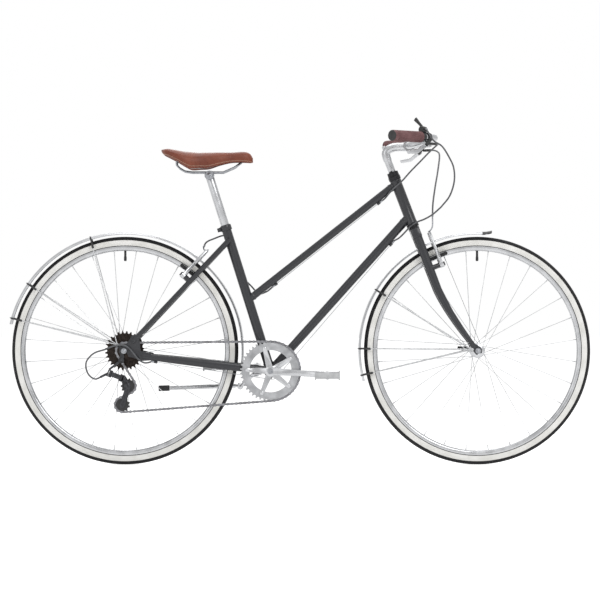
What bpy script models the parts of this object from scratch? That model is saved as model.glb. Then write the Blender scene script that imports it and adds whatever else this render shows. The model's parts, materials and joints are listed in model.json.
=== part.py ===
"""Commuter bicycle with a sloping top tube, rear derailleur, mudguards and a folded kickstand.

Units are metres, +Z is up, +X is forward and the drive side faces -Y. The origin lies on the
ground, midway between the rearmost and the foremost point. Every piece is its own object, and a
piece that moves has its origin on its joint's axis.
"""

import math

import bmesh
import bpy
from mathutils import Vector

# Clearances between pieces that touch and between pieces that turn
GAP = 0.0003
RUNNING_GAP = 0.0004

# Wheels
WHEELBASE = 1.060
WHEEL_STEPS = 30
TYRE_RADIUS = 0.343
TYRE_WIDTH = 0.032
TREAD_HALF = 0.005
TREAD_THICKNESS = 0.005
SIDE_WALL = 0.0025
RIM_OUTER = 0.318
RIM_INNER = 0.300
RIM_HALF = 0.012
RIM_WALL = 0.0025
RIM_BED = 0.3065
BEAD_RADIUS = 0.3125
VALVE_RADIUS = 0.0035
VALVE_LENGTH = 0.030
SPOKE_COUNT = 28
SPOKE_RADIUS = 0.0011
SPOKE_CROSSINGS = 2
FLANGE_RADIUS = 0.022
FLANGE_HALF = 0.0015
FRONT_FLANGE = 0.035
REAR_LEFT_FLANGE = 0.036
REAR_DRIVE_FLANGE = 0.021
HUB_BARREL = 0.0135
CONE_RADIUS = 0.0085
CONE_LENGTH = 0.0035
NUT_RADIUS = 0.009
NUT_LENGTH = 0.008
FRONT_OVER_NUTS = 0.100
REAR_OVER_NUTS = 0.135
FRONT_AXLE_RADIUS = 0.0045
REAR_AXLE_RADIUS = 0.005
CARRIER_RADIUS = 0.012
DRIVE_CONE = 0.005

# Frame
BB_FORWARD = 0.438
BB_DROP = 0.061
BB_SHELL_RADIUS = 0.020
BB_SHELL_HALF = 0.034
BB_BORE = 0.0172
BB_CUP_WIDTH = 0.0035
SEAT_ANGLE = math.radians(72.6)
SEAT_TUBE_LENGTH = 0.460
SEAT_TUBE_RADIUS = 0.0143
SEAT_BORE_DEPTH = 0.222
HEAD_ANGLE = math.radians(69.0)
FORK_RAKE = 0.046
HEAD_TUBE_LOW = 0.4264
HEAD_TUBE_LENGTH = 0.142
HEAD_TUBE_RADIUS = 0.0163
HEAD_TUBE_BORE = 0.0149
TOP_TUBE_RADIUS = 0.0111
TOP_TUBE_ON_SEAT = 0.224
TOP_TUBE_BELOW_HEAD_TOP = 0.011
DOWN_TUBE_RADIUS = 0.0127
DOWN_TUBE_ABOVE_HEAD_LOW = 0.0245
SEAT_STAY_RADIUS = 0.008
SEAT_STAY_ON_SEAT = 0.414
SEAT_STAY_SPREAD = 0.016
CHAIN_STAY_HALF_WIDTH = 0.0085
CHAIN_STAY_HALF_HEIGHT = 0.013
CHAIN_STAY_SPREAD = 0.0245
DROPOUT_THICKNESS = 0.006
BRIDGE_RADIUS = 0.005
CABLE_STOP_RADIUS = 0.0042
CABLE_STOP_LENGTH = 0.010
CABLE_STOP_SINK = 0.0013

# Fork and headset
STEERER_RADIUS = 0.0127
STEERER_BORE = 0.0115
STEERER_TOP = 0.588
CROWN_LOW = 0.383
CROWN_HIGH = 0.4105
CROWN_HALF_LENGTH = 0.0145
BLADE_TOP_SPREAD = 0.033
BLADE_TIP_SPREAD = 0.053
BLADE_BEND_START = 0.215
FORK_TIP_THICKNESS = 0.005
CUP_RADIUS = 0.0185
CUP_HEIGHT = 0.011
LOCKNUT_HEIGHT = 0.0135

# Mudguards
GUARD_RADIUS = 0.358
GUARD_DROP = 0.006
GUARD_HALF = 0.020
GUARD_WALL = 0.0016
GUARD_STEP = math.radians(11.0)
REAR_GUARD_FROM = math.radians(-9.0)
REAR_GUARD_TO = math.radians(167.0)
FRONT_GUARD_FROM = math.radians(85.0)
FRONT_GUARD_TO = math.radians(195.0)
REAR_CLIPS = (math.radians(107.0), math.radians(145.5), math.radians(164.0))
FRONT_CLIPS = (math.radians(149.0), math.radians(179.0), math.radians(192.0))
ROD_RADIUS = 0.0016
CLIP_RADIUS = 0.0034
EYELET_RADIUS = 0.0048

# Saddle and seat post
POST_RADIUS = 0.0127
POST_BORE = 0.0108
POST_TOP = 0.628
POST_LENGTH = 0.266
CLAMP_ON_POST = 0.6165
CLAMP_BOLT_RADIUS = 0.004
CHEEK_RADIUS = 0.0145
CHEEK_OUTER = 0.030
SADDLE_REAR = 0.1105
SADDLE_ABOVE_CLAMP = 0.0788
RAIL_RADIUS = 0.0035
RAIL_ABOVE_BOLT = 0.009
RAIL_SPREAD = 0.022
BASE_THICKNESS = 0.0042

# Stem and handlebar
QUILL_RADIUS = 0.0111
QUILL_LOW = 0.470
STEM_DROP = 0.030
NECK_RISE = 0.0471
NECK_HEIGHT = HEAD_TUBE_LOW + HEAD_TUBE_LENGTH + CUP_HEIGHT + LOCKNUT_HEIGHT + NECK_RISE
BAR_CLAMP_HEIGHT = 0.6495
STEM_REACH = 0.076
STEM_HALF = 0.0125
BAR_RADIUS = 0.0111
BAR_BULGE = 0.0127
BAR_CLAMP_HALF = 0.019
BAR_CLAMP_WALL = 0.005
BAR_HALF_WIDTH = 0.300
BAR_RISE = 0.015
BAR_END_BACK = 0.059
BAR_SWEEP = math.radians(45.0)
BAR_STRAIGHT = 0.165
GRIP_LENGTH = 0.120
GRIP_RADIUS = 0.0165
GRIP_END = 0.004
SHIFTER_ALONG = 0.128
BRAKE_MOUNT_ALONG = 0.150
CLAMP_WIDTH = 0.012
CLAMP_WALL = 0.0034
LEVER_TILT = math.radians(60.0)
LEVER_DROP = 0.028
LEVER_LENGTH = 0.092
LEVER_PIN = 0.0025
LEVER_EYE = 0.007
SHIFT_POST = 0.022
SHIFT_HUB = 0.006
SHIFT_LEVER_LENGTH = 0.050
POD_RADIUS = 0.010
POD_HALF = 0.0065

# Drivetrain
CHAIN_PITCH = 0.0127
CHAIN_HALF_HEIGHT = 0.0042
CHAIN_PLATE = 0.0016
CHAIN_WEB = 0.0007
CHAIN_WEB_OFFSET = 0.0036
RING_TEETH = 44
RING_PLANE = -0.046
TOOTH_THICKNESS = 0.0022
RING_INNER = 0.063
SPIDER_REACH = 0.076
SPIDER_THICKNESS = 0.005
RING_BOLT_CIRCLE = 0.0695
SPROCKETS = (28, 24, 21, 18, 16, 14, 12)
SPROCKET_PITCH = 0.005
SMALL_SPROCKET_PLANE = -0.061
SPROCKET_CARRIER = 0.016
PULLEY_TEETH = 11
TOOTH_TIP = 0.0020
TOOTH_ROOT = 0.0039
CRANK_LENGTH = 0.170
CRANK_REST = math.radians(-3.5)
CRANK_FACE = 0.051
CRANK_FLARE = 0.016
CRANK_THICKNESS = 0.012
CRANK_BOSS_INNER = 0.044
CRANK_BOSS_RADIUS = 0.016
CRANK_EYE_RADIUS = 0.012
SPINDLE_RADIUS = 0.0085
SPINDLE_HALF = 0.062
PEDAL_AXLE_RADIUS = 0.0055
PEDAL_AXLE_LENGTH = 0.088
PEDAL_WIDTH = 0.092
PEDAL_HALF_LENGTH = 0.037
PEDAL_HALF_HEIGHT = 0.0135
PEDAL_PLATE = 0.003
PEDAL_BARREL = 0.012

# Rear derailleur, placed from the rear axle
HANGER_X = -0.008
HANGER_Z = -0.028
LINK_ROOT_X = -0.040
LINK_ROOT_Z = -0.0675
LINK_LENGTH = 0.036
LINK_SLOPE = math.radians(-21.0)
LINK_REST = math.radians(-5.0)
LINK_OUTER_Y = -0.089
LINK_SPACING = 0.013
LINK_HALF_HEIGHT = 0.0075
LINK_THICKNESS = 0.003
LINK_PIN = 0.0018
LINK_BARREL = 0.004
LUG_THICKNESS = 0.0025
GUIDE_X = 0.0126
GUIDE_Z = -0.1052
TENSION_X = -0.0055
TENSION_Z = -0.161
CAGE_GAP = 0.005
CAGE_PLATE = 0.0015
CAGE_BOLT = 0.0025

# Brakes
BOSS_HEIGHT = 0.285
FRONT_BOSS_HEIGHT = 0.281
ARM_LENGTH = 0.104
ARM_HALF_THICKNESS = 0.006
ARM_HALF_WIDTH = 0.006
ARM_TOP_SPREAD = 0.033
REAR_ARM_OFFSET = 0.027
FRONT_ARM_OFFSET = 0.038
PAD_BELOW_EDGE = 0.0105
PAD_RADIUS = RIM_OUTER - PAD_BELOW_EDGE
PAD_CLEARANCE = 0.002
PAD_HALF_LENGTH = 0.029
PAD_DEPTH = 0.010
PAD_HALF_HEIGHT = 0.005
BOSS_RADIUS = 0.0075
STUD_RADIUS = 0.004
STUD_HEAD = 0.0062

# Kickstand, placed from the rear axle
STAND_X = 0.3456
STAND_Z = -0.1066
STAND_Y = 0.0465
STAND_LENGTH = 0.243
STAND_RADIUS = 0.0065
STAND_EYE = 0.009
STAND_PIN = 0.0035
STAND_SPLAY = math.radians(21.0)
STAND_FOLD_SLOPE = math.radians(2.0)
STAND_SHARES = (0.848, 0.927)
STAND_PLATE = 0.004
STAY_HALF_AT_STAND = 0.0117

# Cables
HOUSING_RADIUS = 0.0025
NOODLE_RADIUS = 0.0021
WIRE_RADIUS = 0.0008
WIRE_BORE = 0.0013

# Finishes: red, green, blue, roughness and metallic value
CHARCOAL = (0.045, 0.047, 0.052, 0.35, 0.6)
SILVER = (0.62, 0.62, 0.63, 0.25, 1.0)
SATIN = (0.50, 0.50, 0.51, 0.40, 1.0)
BLACK = (0.015, 0.015, 0.016, 0.55, 0.0)
DARK_STEEL = (0.08, 0.07, 0.065, 0.45, 0.8)
RUBBER = (0.020, 0.020, 0.021, 0.85, 0.0)
LEATHER = (0.25, 0.075, 0.050, 0.60, 0.0)
GUARD_SILVER = (0.72, 0.72, 0.73, 0.30, 0.8)
CABLE_GREY = (0.15, 0.15, 0.16, 0.50, 0.0)

for old in list(bpy.data.objects):
    bpy.data.objects.remove(old, do_unlink=True)

X = Vector((1.0, 0.0, 0.0))
Y = Vector((0.0, 1.0, 0.0))
Z = Vector((0.0, 0.0, 1.0))

# The rearmost point is the end of the rear mudguard and the foremost is the front tyre, which
# has a corner straight below the axle and the middle of a side straight ahead of it.
REAR_REACH = GUARD_RADIUS * math.cos(math.pi - REAR_GUARD_TO)
FRONT_REACH = TYRE_RADIUS * math.cos(math.pi / WHEEL_STEPS)
REAR_AXLE = Vector((-(WHEELBASE + FRONT_REACH - REAR_REACH) / 2, 0.0, TYRE_RADIUS))
FRONT_AXLE = REAR_AXLE + X * WHEELBASE
BOTTOM_BRACKET = REAR_AXLE + X * BB_FORWARD - Z * BB_DROP

SEAT_UP = Vector((-math.cos(SEAT_ANGLE), 0.0, math.sin(SEAT_ANGLE)))
SEAT_BACK = Vector((-math.sin(SEAT_ANGLE), 0.0, -math.cos(SEAT_ANGLE)))
STEER_UP = Vector((-math.cos(HEAD_ANGLE), 0.0, math.sin(HEAD_ANGLE)))
STEER_OUT = Vector((math.sin(HEAD_ANGLE), 0.0, math.cos(HEAD_ANGLE)))
STEER_FOOT = FRONT_AXLE - STEER_OUT * FORK_RAKE
HEAD_TUBE_HIGH = HEAD_TUBE_LOW + HEAD_TUBE_LENGTH


# Points and directions

def steer(height, out=0.0, side=0.0):
    """A point by its height along the steering axis, its distance ahead of it and its side."""
    return STEER_FOOT + STEER_UP * height + STEER_OUT * out + Y * side


def seat(height, back=0.0, side=0.0):
    """A point by its height along the seat tube, its distance behind it and its side."""
    return BOTTOM_BRACKET + SEAT_UP * height + SEAT_BACK * back + Y * side


def rear(x, z, y=0.0):
    """A point placed from the rear axle."""
    return REAR_AXLE + Vector((x, y, z))


def running_bore(radius, sides):
    """The radius of a faceted bore that a shaft of this radius can turn in."""
    return (radius + RUNNING_GAP) / math.cos(math.pi / sides)


def across(axis):
    """Two unit vectors square to an axis and to each other."""
    axis = axis.normalized()
    other = Y if abs(axis.y) < 0.9 else X
    first = other.cross(axis).normalized()
    return first, axis.cross(first)


def radial(angle):
    """The unit vector at this angle above +X in the wheel's plane."""
    return X * math.cos(angle) + Z * math.sin(angle)


def mixed(a, b, share):
    return a + (b - a) * share


def smooth_path(points, steps):
    """A Catmull-Rom curve through points, with this many steps in each span."""
    padded = [points[0] * 2 - points[1], *points, points[-1] * 2 - points[-2]]
    path = []
    for i in range(1, len(padded) - 2):
        a, b, c, d = padded[i - 1:i + 3]
        for k in range(steps):
            t = k / steps
            path.append(0.5 * (2 * b + (c - a) * t + (2 * a - 5 * b + 4 * c - d) * t * t
                               + (3 * b - a - 3 * c + d) * t ** 3))
    path.append(points[-1])
    return path


# Shapes, each as (points, faces)

def loft(rings, closed=False):
    """The skin over rings of equally many points, closed on itself or with a cap at each end."""
    count = len(rings[0])
    points = [Vector(point) for ring in rings for point in ring]
    faces = []
    for i in range(len(rings) if closed else len(rings) - 1):
        j = (i + 1) % len(rings)
        for k in range(count):
            m = (k + 1) % count
            faces.append((i * count + k, i * count + m, j * count + m, j * count + k))
    if not closed:
        faces.append(tuple(range(count)))
        faces.append(tuple((len(rings) - 1) * count + k for k in range(count)))
    return points, faces


def circle(centre, axis, radius, sides):
    first, second = across(axis)
    angles = [2 * math.pi * k / sides for k in range(sides)]
    return [centre + (first * math.cos(a) + second * math.sin(a)) * radius for a in angles]


def turned(profile, centre, axis, sides, hollow=False):
    """A profile of (radius, height) pairs turned round an axis. A hollow one closes on itself."""
    axis = axis.normalized()
    rings = [circle(centre + axis * height, axis, radius, sides) for radius, height in profile]
    return loft(rings, hollow)


def rod(start, end, radius, sides=8, end_radius=None):
    """A round bar between two points."""
    axis = end - start
    far = radius if end_radius is None else end_radius
    return loft([circle(start, axis, radius, sides), circle(end, axis, far, sides)])


def disc(centre, axis, radius, half, sides=10):
    """A round plate, half its thickness each side of its centre."""
    axis = axis.normalized()
    return rod(centre - axis * half, centre + axis * half, radius, sides)


def sleeve(centre, axis, inner, outer, low, high, sides=12):
    """A ring between two heights along its axis."""
    profile = [(outer, low), (outer, high), (inner, high), (inner, low)]
    return turned(profile, centre, axis, sides, hollow=True)


def swept(path, halves, up, sides=10, square=False):
    """A bar along a path, with (width, height) halves at each point and its height towards up."""
    rings = []
    for i, point in enumerate(path):
        ahead = path[min(i + 1, len(path) - 1)] - path[max(i - 1, 0)]
        side = ahead.cross(up).normalized()
        top = side.cross(ahead).normalized()
        wide, high = halves[i] if isinstance(halves, list) else halves
        if square:
            corner = 0.65
            outline = [(1, corner), (corner, 1), (-corner, 1), (-1, corner),
                       (-1, -corner), (-corner, -1), (corner, -1), (1, -corner)]
        else:
            outline = [(math.cos(2 * math.pi * k / sides), math.sin(2 * math.pi * k / sides))
                       for k in range(sides)]
        rings.append([point + side * (wide * a) + top * (high * b) for a, b in outline])
    return loft(rings)


def plate(outline, centre, along, up, thickness):
    """A flat plate with its outline in (along, up) and half its thickness each side of centre."""
    along = along.normalized()
    normal = along.cross(up).normalized()
    up = normal.cross(along)
    flat = [centre + along * a + up * b for a, b in outline]
    return loft([[p - normal * (thickness / 2) for p in flat],
                 [p + normal * (thickness / 2) for p in flat]])


def block(centre, halves, along=X, up=Z):
    """A box with its half lengths along, across and up."""
    outline = [(halves[0], halves[2]), (-halves[0], halves[2]),
               (-halves[0], -halves[2]), (halves[0], -halves[2])]
    return plate(outline, centre, along, up, 2 * halves[1])


def beam(start, end, half_width, half_height, up):
    """A square bar between two points."""
    return block(mixed(start, end, 0.5), ((end - start).length / 2, half_width, half_height),
                 end - start, up)


def pitch_radius(teeth):
    return CHAIN_PITCH / 2 / math.sin(math.pi / teeth)


def toothed(teeth, centre):
    """A toothed plate whose edge zigzags between the tips and the roots of its teeth."""
    outline = []
    for k in range(2 * teeth):
        radius = pitch_radius(teeth) + (TOOTH_TIP if k % 2 else -TOOTH_ROOT)
        angle = math.pi * k / teeth
        outline.append((math.cos(angle) * radius, math.sin(angle) * radius))
    return plate(outline, centre, X, Z, TOOTH_THICKNESS)


# Objects

def as_mesh(name, shape, origin):
    """A mesh of one shape with its faces turned outwards."""
    bm = bmesh.new()
    corners = [bm.verts.new(point - origin) for point in shape[0]]
    for face in shape[1]:
        bm.faces.new([corners[k] for k in face])
    bmesh.ops.recalc_face_normals(bm, faces=bm.faces)
    mesh = bpy.data.meshes.new(name)
    bm.to_mesh(mesh)
    bm.free()
    return mesh


def helper_set(name, shapes, origin):
    """A collection with one object for each shape."""
    group = bpy.data.collections.new(name)
    bpy.context.scene.collection.children.link(group)
    for shape in shapes:
        group.objects.link(bpy.data.objects.new(name, as_mesh(name, shape, origin)))
    return group


def combined(name, shapes, cuts, origin):
    """The Boolean union of shapes, less the cuts."""
    body = bpy.data.objects.new(name, as_mesh(name, shapes[0], origin))
    bpy.context.scene.collection.objects.link(body)
    groups = []
    for operation, parts in (("UNION", shapes[1:]), ("DIFFERENCE", cuts)):
        if not parts:
            continue
        group = helper_set(operation.lower(), parts, origin)
        groups.append(group)
        modifier = body.modifiers.new(operation.title(), "BOOLEAN")
        modifier.operation = operation
        modifier.solver = "EXACT"
        modifier.operand_type = "COLLECTION"
        modifier.collection = group
    graph = bpy.context.evaluated_depsgraph_get()
    mesh = bpy.data.meshes.new_from_object(body.evaluated_get(graph))
    for group in groups:
        for helper in list(group.objects):
            bpy.data.objects.remove(helper, do_unlink=True)
        bpy.data.collections.remove(group)
    bpy.data.objects.remove(body, do_unlink=True)
    mesh.name = name
    return mesh


def finish_material(name, finish):
    """A Principled material with this finish."""
    material = bpy.data.materials.new(name)
    material.use_nodes = True
    shader = material.node_tree.nodes["Principled BSDF"]
    shader.inputs["Base Color"].default_value = (*finish[:3], 1.0)
    shader.inputs["Roughness"].default_value = finish[3]
    shader.inputs["Metallic"].default_value = finish[4]
    material.diffuse_color = (*finish[:3], 1.0)
    return material


def piece(name, shapes, finish, origin=None, cuts=()):
    """One object: the union of shapes less the cuts, smooth-shaded, with its own material."""
    origin = origin or Vector()
    if len(shapes) > 1 or cuts:
        mesh = combined(name, shapes, cuts, origin)
    else:
        mesh = as_mesh(name, shapes[0], origin)
    mesh.materials.clear()
    mesh.materials.append(finish_material(name, finish))
    mesh.shade_smooth()
    mesh.set_sharp_from_angle(angle=math.radians(35))
    thing = bpy.data.objects.new(name, mesh)
    thing.location = origin
    bpy.context.scene.collection.objects.link(thing)
    return thing


def cable(name, runs, finish):
    """A cable along runs of (points, radius), as one curve with a step where the radius changes."""
    route = []
    for points, radius in runs:
        if route:
            start = points[0] + (points[1] - points[0]).normalized() * GAP
            points = [start, *points[1:]]
        route += [(point, radius) for point in points]
    curve = bpy.data.curves.new(name, "CURVE")
    curve.dimensions = "3D"
    curve.bevel_depth = HOUSING_RADIUS
    curve.bevel_resolution = 1
    curve.use_fill_caps = True
    spline = curve.splines.new("POLY")
    spline.points.add(len(route) - 1)
    for point, (spot, radius) in zip(spline.points, route):
        point.co = (*spot, 1.0)
        point.radius = radius / HOUSING_RADIUS
    curve.materials.append(finish_material(name, finish))
    thing = bpy.data.objects.new(name, curve)
    bpy.context.scene.collection.objects.link(thing)
    return thing


# Wheels

def tyre(name, axle):
    """An open casing: tread, side walls and the two beads that sit in the rim."""
    half = TYRE_WIDTH / 2
    bead = RIM_HALF - RIM_WALL - GAP
    outer = [(BEAD_RADIUS, bead), (RIM_OUTER + 0.011, half), (TYRE_RADIUS, TREAD_HALF)]
    inner = [(TYRE_RADIUS - 0.013, half - 0.0045), (BEAD_RADIUS, bead - SIDE_WALL)]
    profile = [(r, -y) for r, y in outer] + [(r, y) for r, y in reversed(outer)]
    profile += [(r, y) for r, y in reversed(inner)] + [(TYRE_RADIUS - TREAD_THICKNESS, 0.0)]
    profile += [(r, -y) for r, y in inner]
    piece(name, [turned(profile, axle, Y, WHEEL_STEPS, hollow=True)], RUBBER, axle)


def inner_tube(name, axle):
    """An air tube with its valve stem, which runs through the rim at the top of the wheel."""
    low = RIM_BED + 0.0115
    high = TYRE_RADIUS - TREAD_THICKNESS - 0.002
    middle = (low + high) / 2
    reach = (high - low) / 2

    def skin(radius):
        profile = [(middle + radius, 0.0), (middle, radius * 0.85), (middle - radius, 0.0),
                   (middle, -radius * 0.85)]
        return turned(profile, axle, Y, WHEEL_STEPS // 2, hollow=True)

    valve_top = axle + Z * (middle - reach / 2)
    valve_end = axle + Z * (RIM_INNER - VALVE_LENGTH)
    stem = rod(valve_top, valve_end, VALVE_RADIUS, 6)
    bore = rod(axle + Z * middle, valve_end - Z * 0.001, VALVE_RADIUS / 3, 5)
    piece(name, [skin(reach), stem], BLACK, axle, [skin(reach - 0.0012), bore])


def rim(name, axle):
    """A rim with a well for the tyre and a hole for the valve."""
    half = [(RIM_INNER, 0.006), (RIM_INNER + 0.0045, RIM_HALF), (RIM_OUTER, RIM_HALF),
            (RIM_BED, RIM_HALF - RIM_WALL)]
    profile = [(r, -y) for r, y in half] + [(r, y) for r, y in reversed(half)]
    hole = rod(axle + Z * (RIM_INNER - 0.01), axle + Z * (RIM_BED + 0.01), VALVE_RADIUS + 2 * GAP)
    piece(name, [turned(profile, axle, Y, WHEEL_STEPS, hollow=True)], SILVER, axle, [hole])


def spoked_hub(name, axle, left_flange, right_flange, left_end, right_end, bore, carrier):
    """A hub shell with its tangent spokes, which leave each flange forwards and backwards in turn."""
    shell = [(carrier, -right_end), (carrier, -right_flange - FLANGE_HALF - DRIVE_CONE * 0.8),
             (FLANGE_RADIUS, -right_flange - FLANGE_HALF),
             (FLANGE_RADIUS, -right_flange + FLANGE_HALF),
             (HUB_BARREL, -right_flange + FLANGE_HALF + 0.003),
             (HUB_BARREL, left_flange - FLANGE_HALF - 0.003),
             (FLANGE_RADIUS, left_flange - FLANGE_HALF), (FLANGE_RADIUS, left_flange + FLANGE_HALF),
             (bore + 0.005, left_flange + FLANGE_HALF + 0.003), (bore + 0.005, left_end)]
    shapes = [turned(shell, axle, Y, 12)]
    per_side = SPOKE_COUNT // 2
    spread = 2 * math.pi / per_side * SPOKE_CROSSINGS
    rim_end = RIM_INNER * math.cos(math.pi / WHEEL_STEPS) - GAP - SPOKE_RADIUS / 3
    for side, flange in ((1, left_flange), (-1, right_flange)):
        for k in range(per_side):
            lean = 1 if k % 2 else -1
            rim_angle = 2 * math.pi * (2 * k + (side > 0) + 0.5) / SPOKE_COUNT
            hub_angle = rim_angle + lean * spread
            start = radial(hub_angle) * (FLANGE_RADIUS - 0.0035) + Y * side * (flange + lean * 0.0014)
            end = radial(rim_angle) * rim_end + Y * side * (0.003 + lean * 0.0012)
            shapes.append(rod(axle + start, axle + end, SPOKE_RADIUS, 3))
    hole = rod(axle - Y * (right_end + 0.01), axle + Y * (left_end + 0.01), bore, 10)
    piece(name, shapes, SATIN, axle, [hole])


FRONT_HUB_END = FRONT_OVER_NUTS / 2 - CONE_LENGTH - 2 * GAP
REAR_HUB_END = REAR_OVER_NUTS / 2 - CONE_LENGTH - 2 * GAP
for end_name, wheel_axle in (("rear", REAR_AXLE), ("front", FRONT_AXLE)):
    tyre("tyre_" + end_name, wheel_axle)
    inner_tube("inner_tube_" + end_name, wheel_axle)
    rim("rim_" + end_name, wheel_axle)
DRIVE_HUB_END = REAR_DRIVE_FLANGE + FLANGE_HALF + DRIVE_CONE
spoked_hub("hub_rear", REAR_AXLE, REAR_LEFT_FLANGE, REAR_DRIVE_FLANGE, REAR_HUB_END,
           DRIVE_HUB_END, running_bore(REAR_AXLE_RADIUS, 12), CARRIER_RADIUS)
spoked_hub("hub_front", FRONT_AXLE, FRONT_FLANGE, FRONT_FLANGE, FRONT_HUB_END,
           FRONT_HUB_END, running_bore(FRONT_AXLE_RADIUS, 12), FRONT_AXLE_RADIUS + 0.005)


# Axles: a threaded rod with a cone inside each dropout and a nut outside it

def axle_rod(axle, radius, hub_end, dropout_face, dropout_thickness, left_nut=True):
    """The turned axle, between the hub's bore and the nuts outside the dropouts."""
    cone = dropout_face - GAP
    nut = dropout_face + dropout_thickness + GAP
    half = [(radius, hub_end + GAP), (CONE_RADIUS, hub_end + GAP), (CONE_RADIUS, cone),
            (radius, cone), (radius, nut), (NUT_RADIUS, nut), (NUT_RADIUS, nut + NUT_LENGTH)]
    end = [(radius, nut + NUT_LENGTH), (radius, nut + NUT_LENGTH + 0.004)]
    drive = half + end
    profile = [(r, -y) for r, y in reversed(drive)] + (drive if left_nut else half[:-1])
    if not left_nut:
        profile.append((NUT_RADIUS, nut + NUT_LENGTH / 2))
    return turned(profile, axle, Y, 8)


piece("rear_axle", [axle_rod(REAR_AXLE, REAR_AXLE_RADIUS, REAR_HUB_END, REAR_OVER_NUTS / 2,
                             DROPOUT_THICKNESS)], SATIN, REAR_AXLE)

# The front axle ends in the eye and the cross pin of its quick-release lever.
QR_ALONG = Vector((-math.cos(math.radians(8)), 0.0, math.sin(math.radians(8))))
QR_PIN_AXIS = QR_ALONG.cross(Y)
QR_EYE = 0.0065
QR_CHEEK = 0.0053
QR_SIDE = FRONT_OVER_NUTS / 2 + FORK_TIP_THICKNESS + NUT_LENGTH / 2 + QR_EYE
QR_PIVOT = FRONT_AXLE + Y * QR_SIDE
piece("front_axle",
      [axle_rod(FRONT_AXLE, FRONT_AXLE_RADIUS, FRONT_HUB_END, FRONT_OVER_NUTS / 2,
                FORK_TIP_THICKNESS, left_nut=False),
       rod(QR_PIVOT - Y * (QR_EYE + 0.003), QR_PIVOT, 0.0032),
       disc(QR_PIVOT, QR_PIN_AXIS, QR_EYE, QR_CHEEK - 0.0018), disc(QR_PIVOT, QR_PIN_AXIS, 0.0024, 0.008, 8)],
      SATIN, FRONT_AXLE)
piece("quick_release_lever",
      [beam(QR_PIVOT - QR_ALONG * 0.004 + QR_PIN_AXIS * QR_CHEEK,
            QR_PIVOT + QR_ALONG * 0.016 + QR_PIN_AXIS * QR_CHEEK, 0.004, 0.0015, QR_PIN_AXIS),
       beam(QR_PIVOT - QR_ALONG * 0.004 - QR_PIN_AXIS * QR_CHEEK,
            QR_PIVOT + QR_ALONG * 0.016 - QR_PIN_AXIS * QR_CHEEK, 0.004, 0.0015, QR_PIN_AXIS),
       swept([QR_PIVOT + QR_ALONG * 0.010, QR_PIVOT + QR_ALONG * 0.035, QR_PIVOT + QR_ALONG * 0.056],
             [(0.0035, 0.0062), (0.003, 0.0068), (0.002, 0.0045)], QR_PIN_AXIS, square=True)],
      DARK_STEEL, QR_PIVOT, [disc(QR_PIVOT, QR_PIN_AXIS, 0.0028, 0.012, 8)])


# Frame

SEAT_STAY_TOP = seat(SEAT_STAY_ON_SEAT)
STAY_UP = (SEAT_STAY_TOP - REAR_AXLE).normalized()
STAY_BACK = Vector((-STAY_UP.z, 0.0, STAY_UP.x))
STAY_SPAN = (SEAT_STAY_TOP - REAR_AXLE).length
STAY_START = 0.045
DROPOUT_MIDDLE = REAR_OVER_NUTS / 2 + DROPOUT_THICKNESS / 2
TOP_TUBE_LOW = seat(TOP_TUBE_ON_SEAT)
TOP_TUBE_HIGH = steer(HEAD_TUBE_HIGH - TOP_TUBE_BELOW_HEAD_TOP)
TOP_TUBE_DIR = (TOP_TUBE_HIGH - TOP_TUBE_LOW).normalized()
TOP_TUBE_DOWN = Vector((TOP_TUBE_DIR.z, 0.0, -TOP_TUBE_DIR.x))
DOWN_TUBE_HIGH = steer(HEAD_TUBE_LOW + DOWN_TUBE_ABOVE_HEAD_LOW)
DOWN_TUBE_DIR = (DOWN_TUBE_HIGH - BOTTOM_BRACKET).normalized()
DOWN_TUBE_DOWN = Vector((DOWN_TUBE_DIR.z, 0.0, -DOWN_TUBE_DIR.x))
CHAIN_STAY_START = REAR_AXLE + Vector((0.056, 0.0, -0.0165))
CHAIN_STAY_DIR = (BOTTOM_BRACKET + Z * 0.001 - CHAIN_STAY_START).normalized()
CHAIN_STAY_DOWN = Vector((CHAIN_STAY_DIR.z, 0.0, -CHAIN_STAY_DIR.x))
CHAIN_STAY_SPAN = (BOTTOM_BRACKET - CHAIN_STAY_START).length


def seat_stay(along, back=0.0, side=0.0):
    """A point on a seat stay by its distance from the axle, with the stays' own spread at side 1."""
    share = (along - STAY_START) / (STAY_SPAN - STAY_START)
    spread = mixed(DROPOUT_MIDDLE, SEAT_STAY_SPREAD, share)
    return REAR_AXLE + STAY_UP * along + STAY_BACK * back + Y * side * spread


def chain_stay(share, down=0.0, side=0.0):
    """A point on a chain stay by its share of the way to the bottom bracket."""
    spread = mixed(DROPOUT_MIDDLE, CHAIN_STAY_SPREAD, share)
    return (CHAIN_STAY_START + CHAIN_STAY_DIR * CHAIN_STAY_SPAN * share + CHAIN_STAY_DOWN * down
            + Y * side * spread)


CHAIN_STAY_SIZES = ((0.0, 0.0060, 0.0080), (0.22, 0.0070, 0.0105),
                    (0.55, CHAIN_STAY_HALF_WIDTH, CHAIN_STAY_HALF_HEIGHT), (0.955, 0.0062, 0.0110))
BRIDGE_ALONG = GUARD_RADIUS + BRIDGE_RADIUS + 0.011
LOW_BRIDGE_SHARE = 0.828
LOW_BRIDGE = chain_stay(LOW_BRIDGE_SHARE)
REAR_STUD_END = REAR_ARM_OFFSET + ARM_HALF_THICKNESS + GAP
FRONT_STUD_END = FRONT_ARM_OFFSET + ARM_HALF_THICKNESS + GAP
TOP_STOPS = (0.095, 0.488)
DOWN_STOP = 0.525
STAY_STOP_SHARE = 0.105
STAY_STOP_DOWN = 0.0121


def cable_stop(centre, along):
    """The body of a cable stop, centred on the wire that passes through it."""
    return rod(centre - along * CABLE_STOP_LENGTH / 2, centre + along * CABLE_STOP_LENGTH / 2,
               CABLE_STOP_RADIUS, 6)


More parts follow.
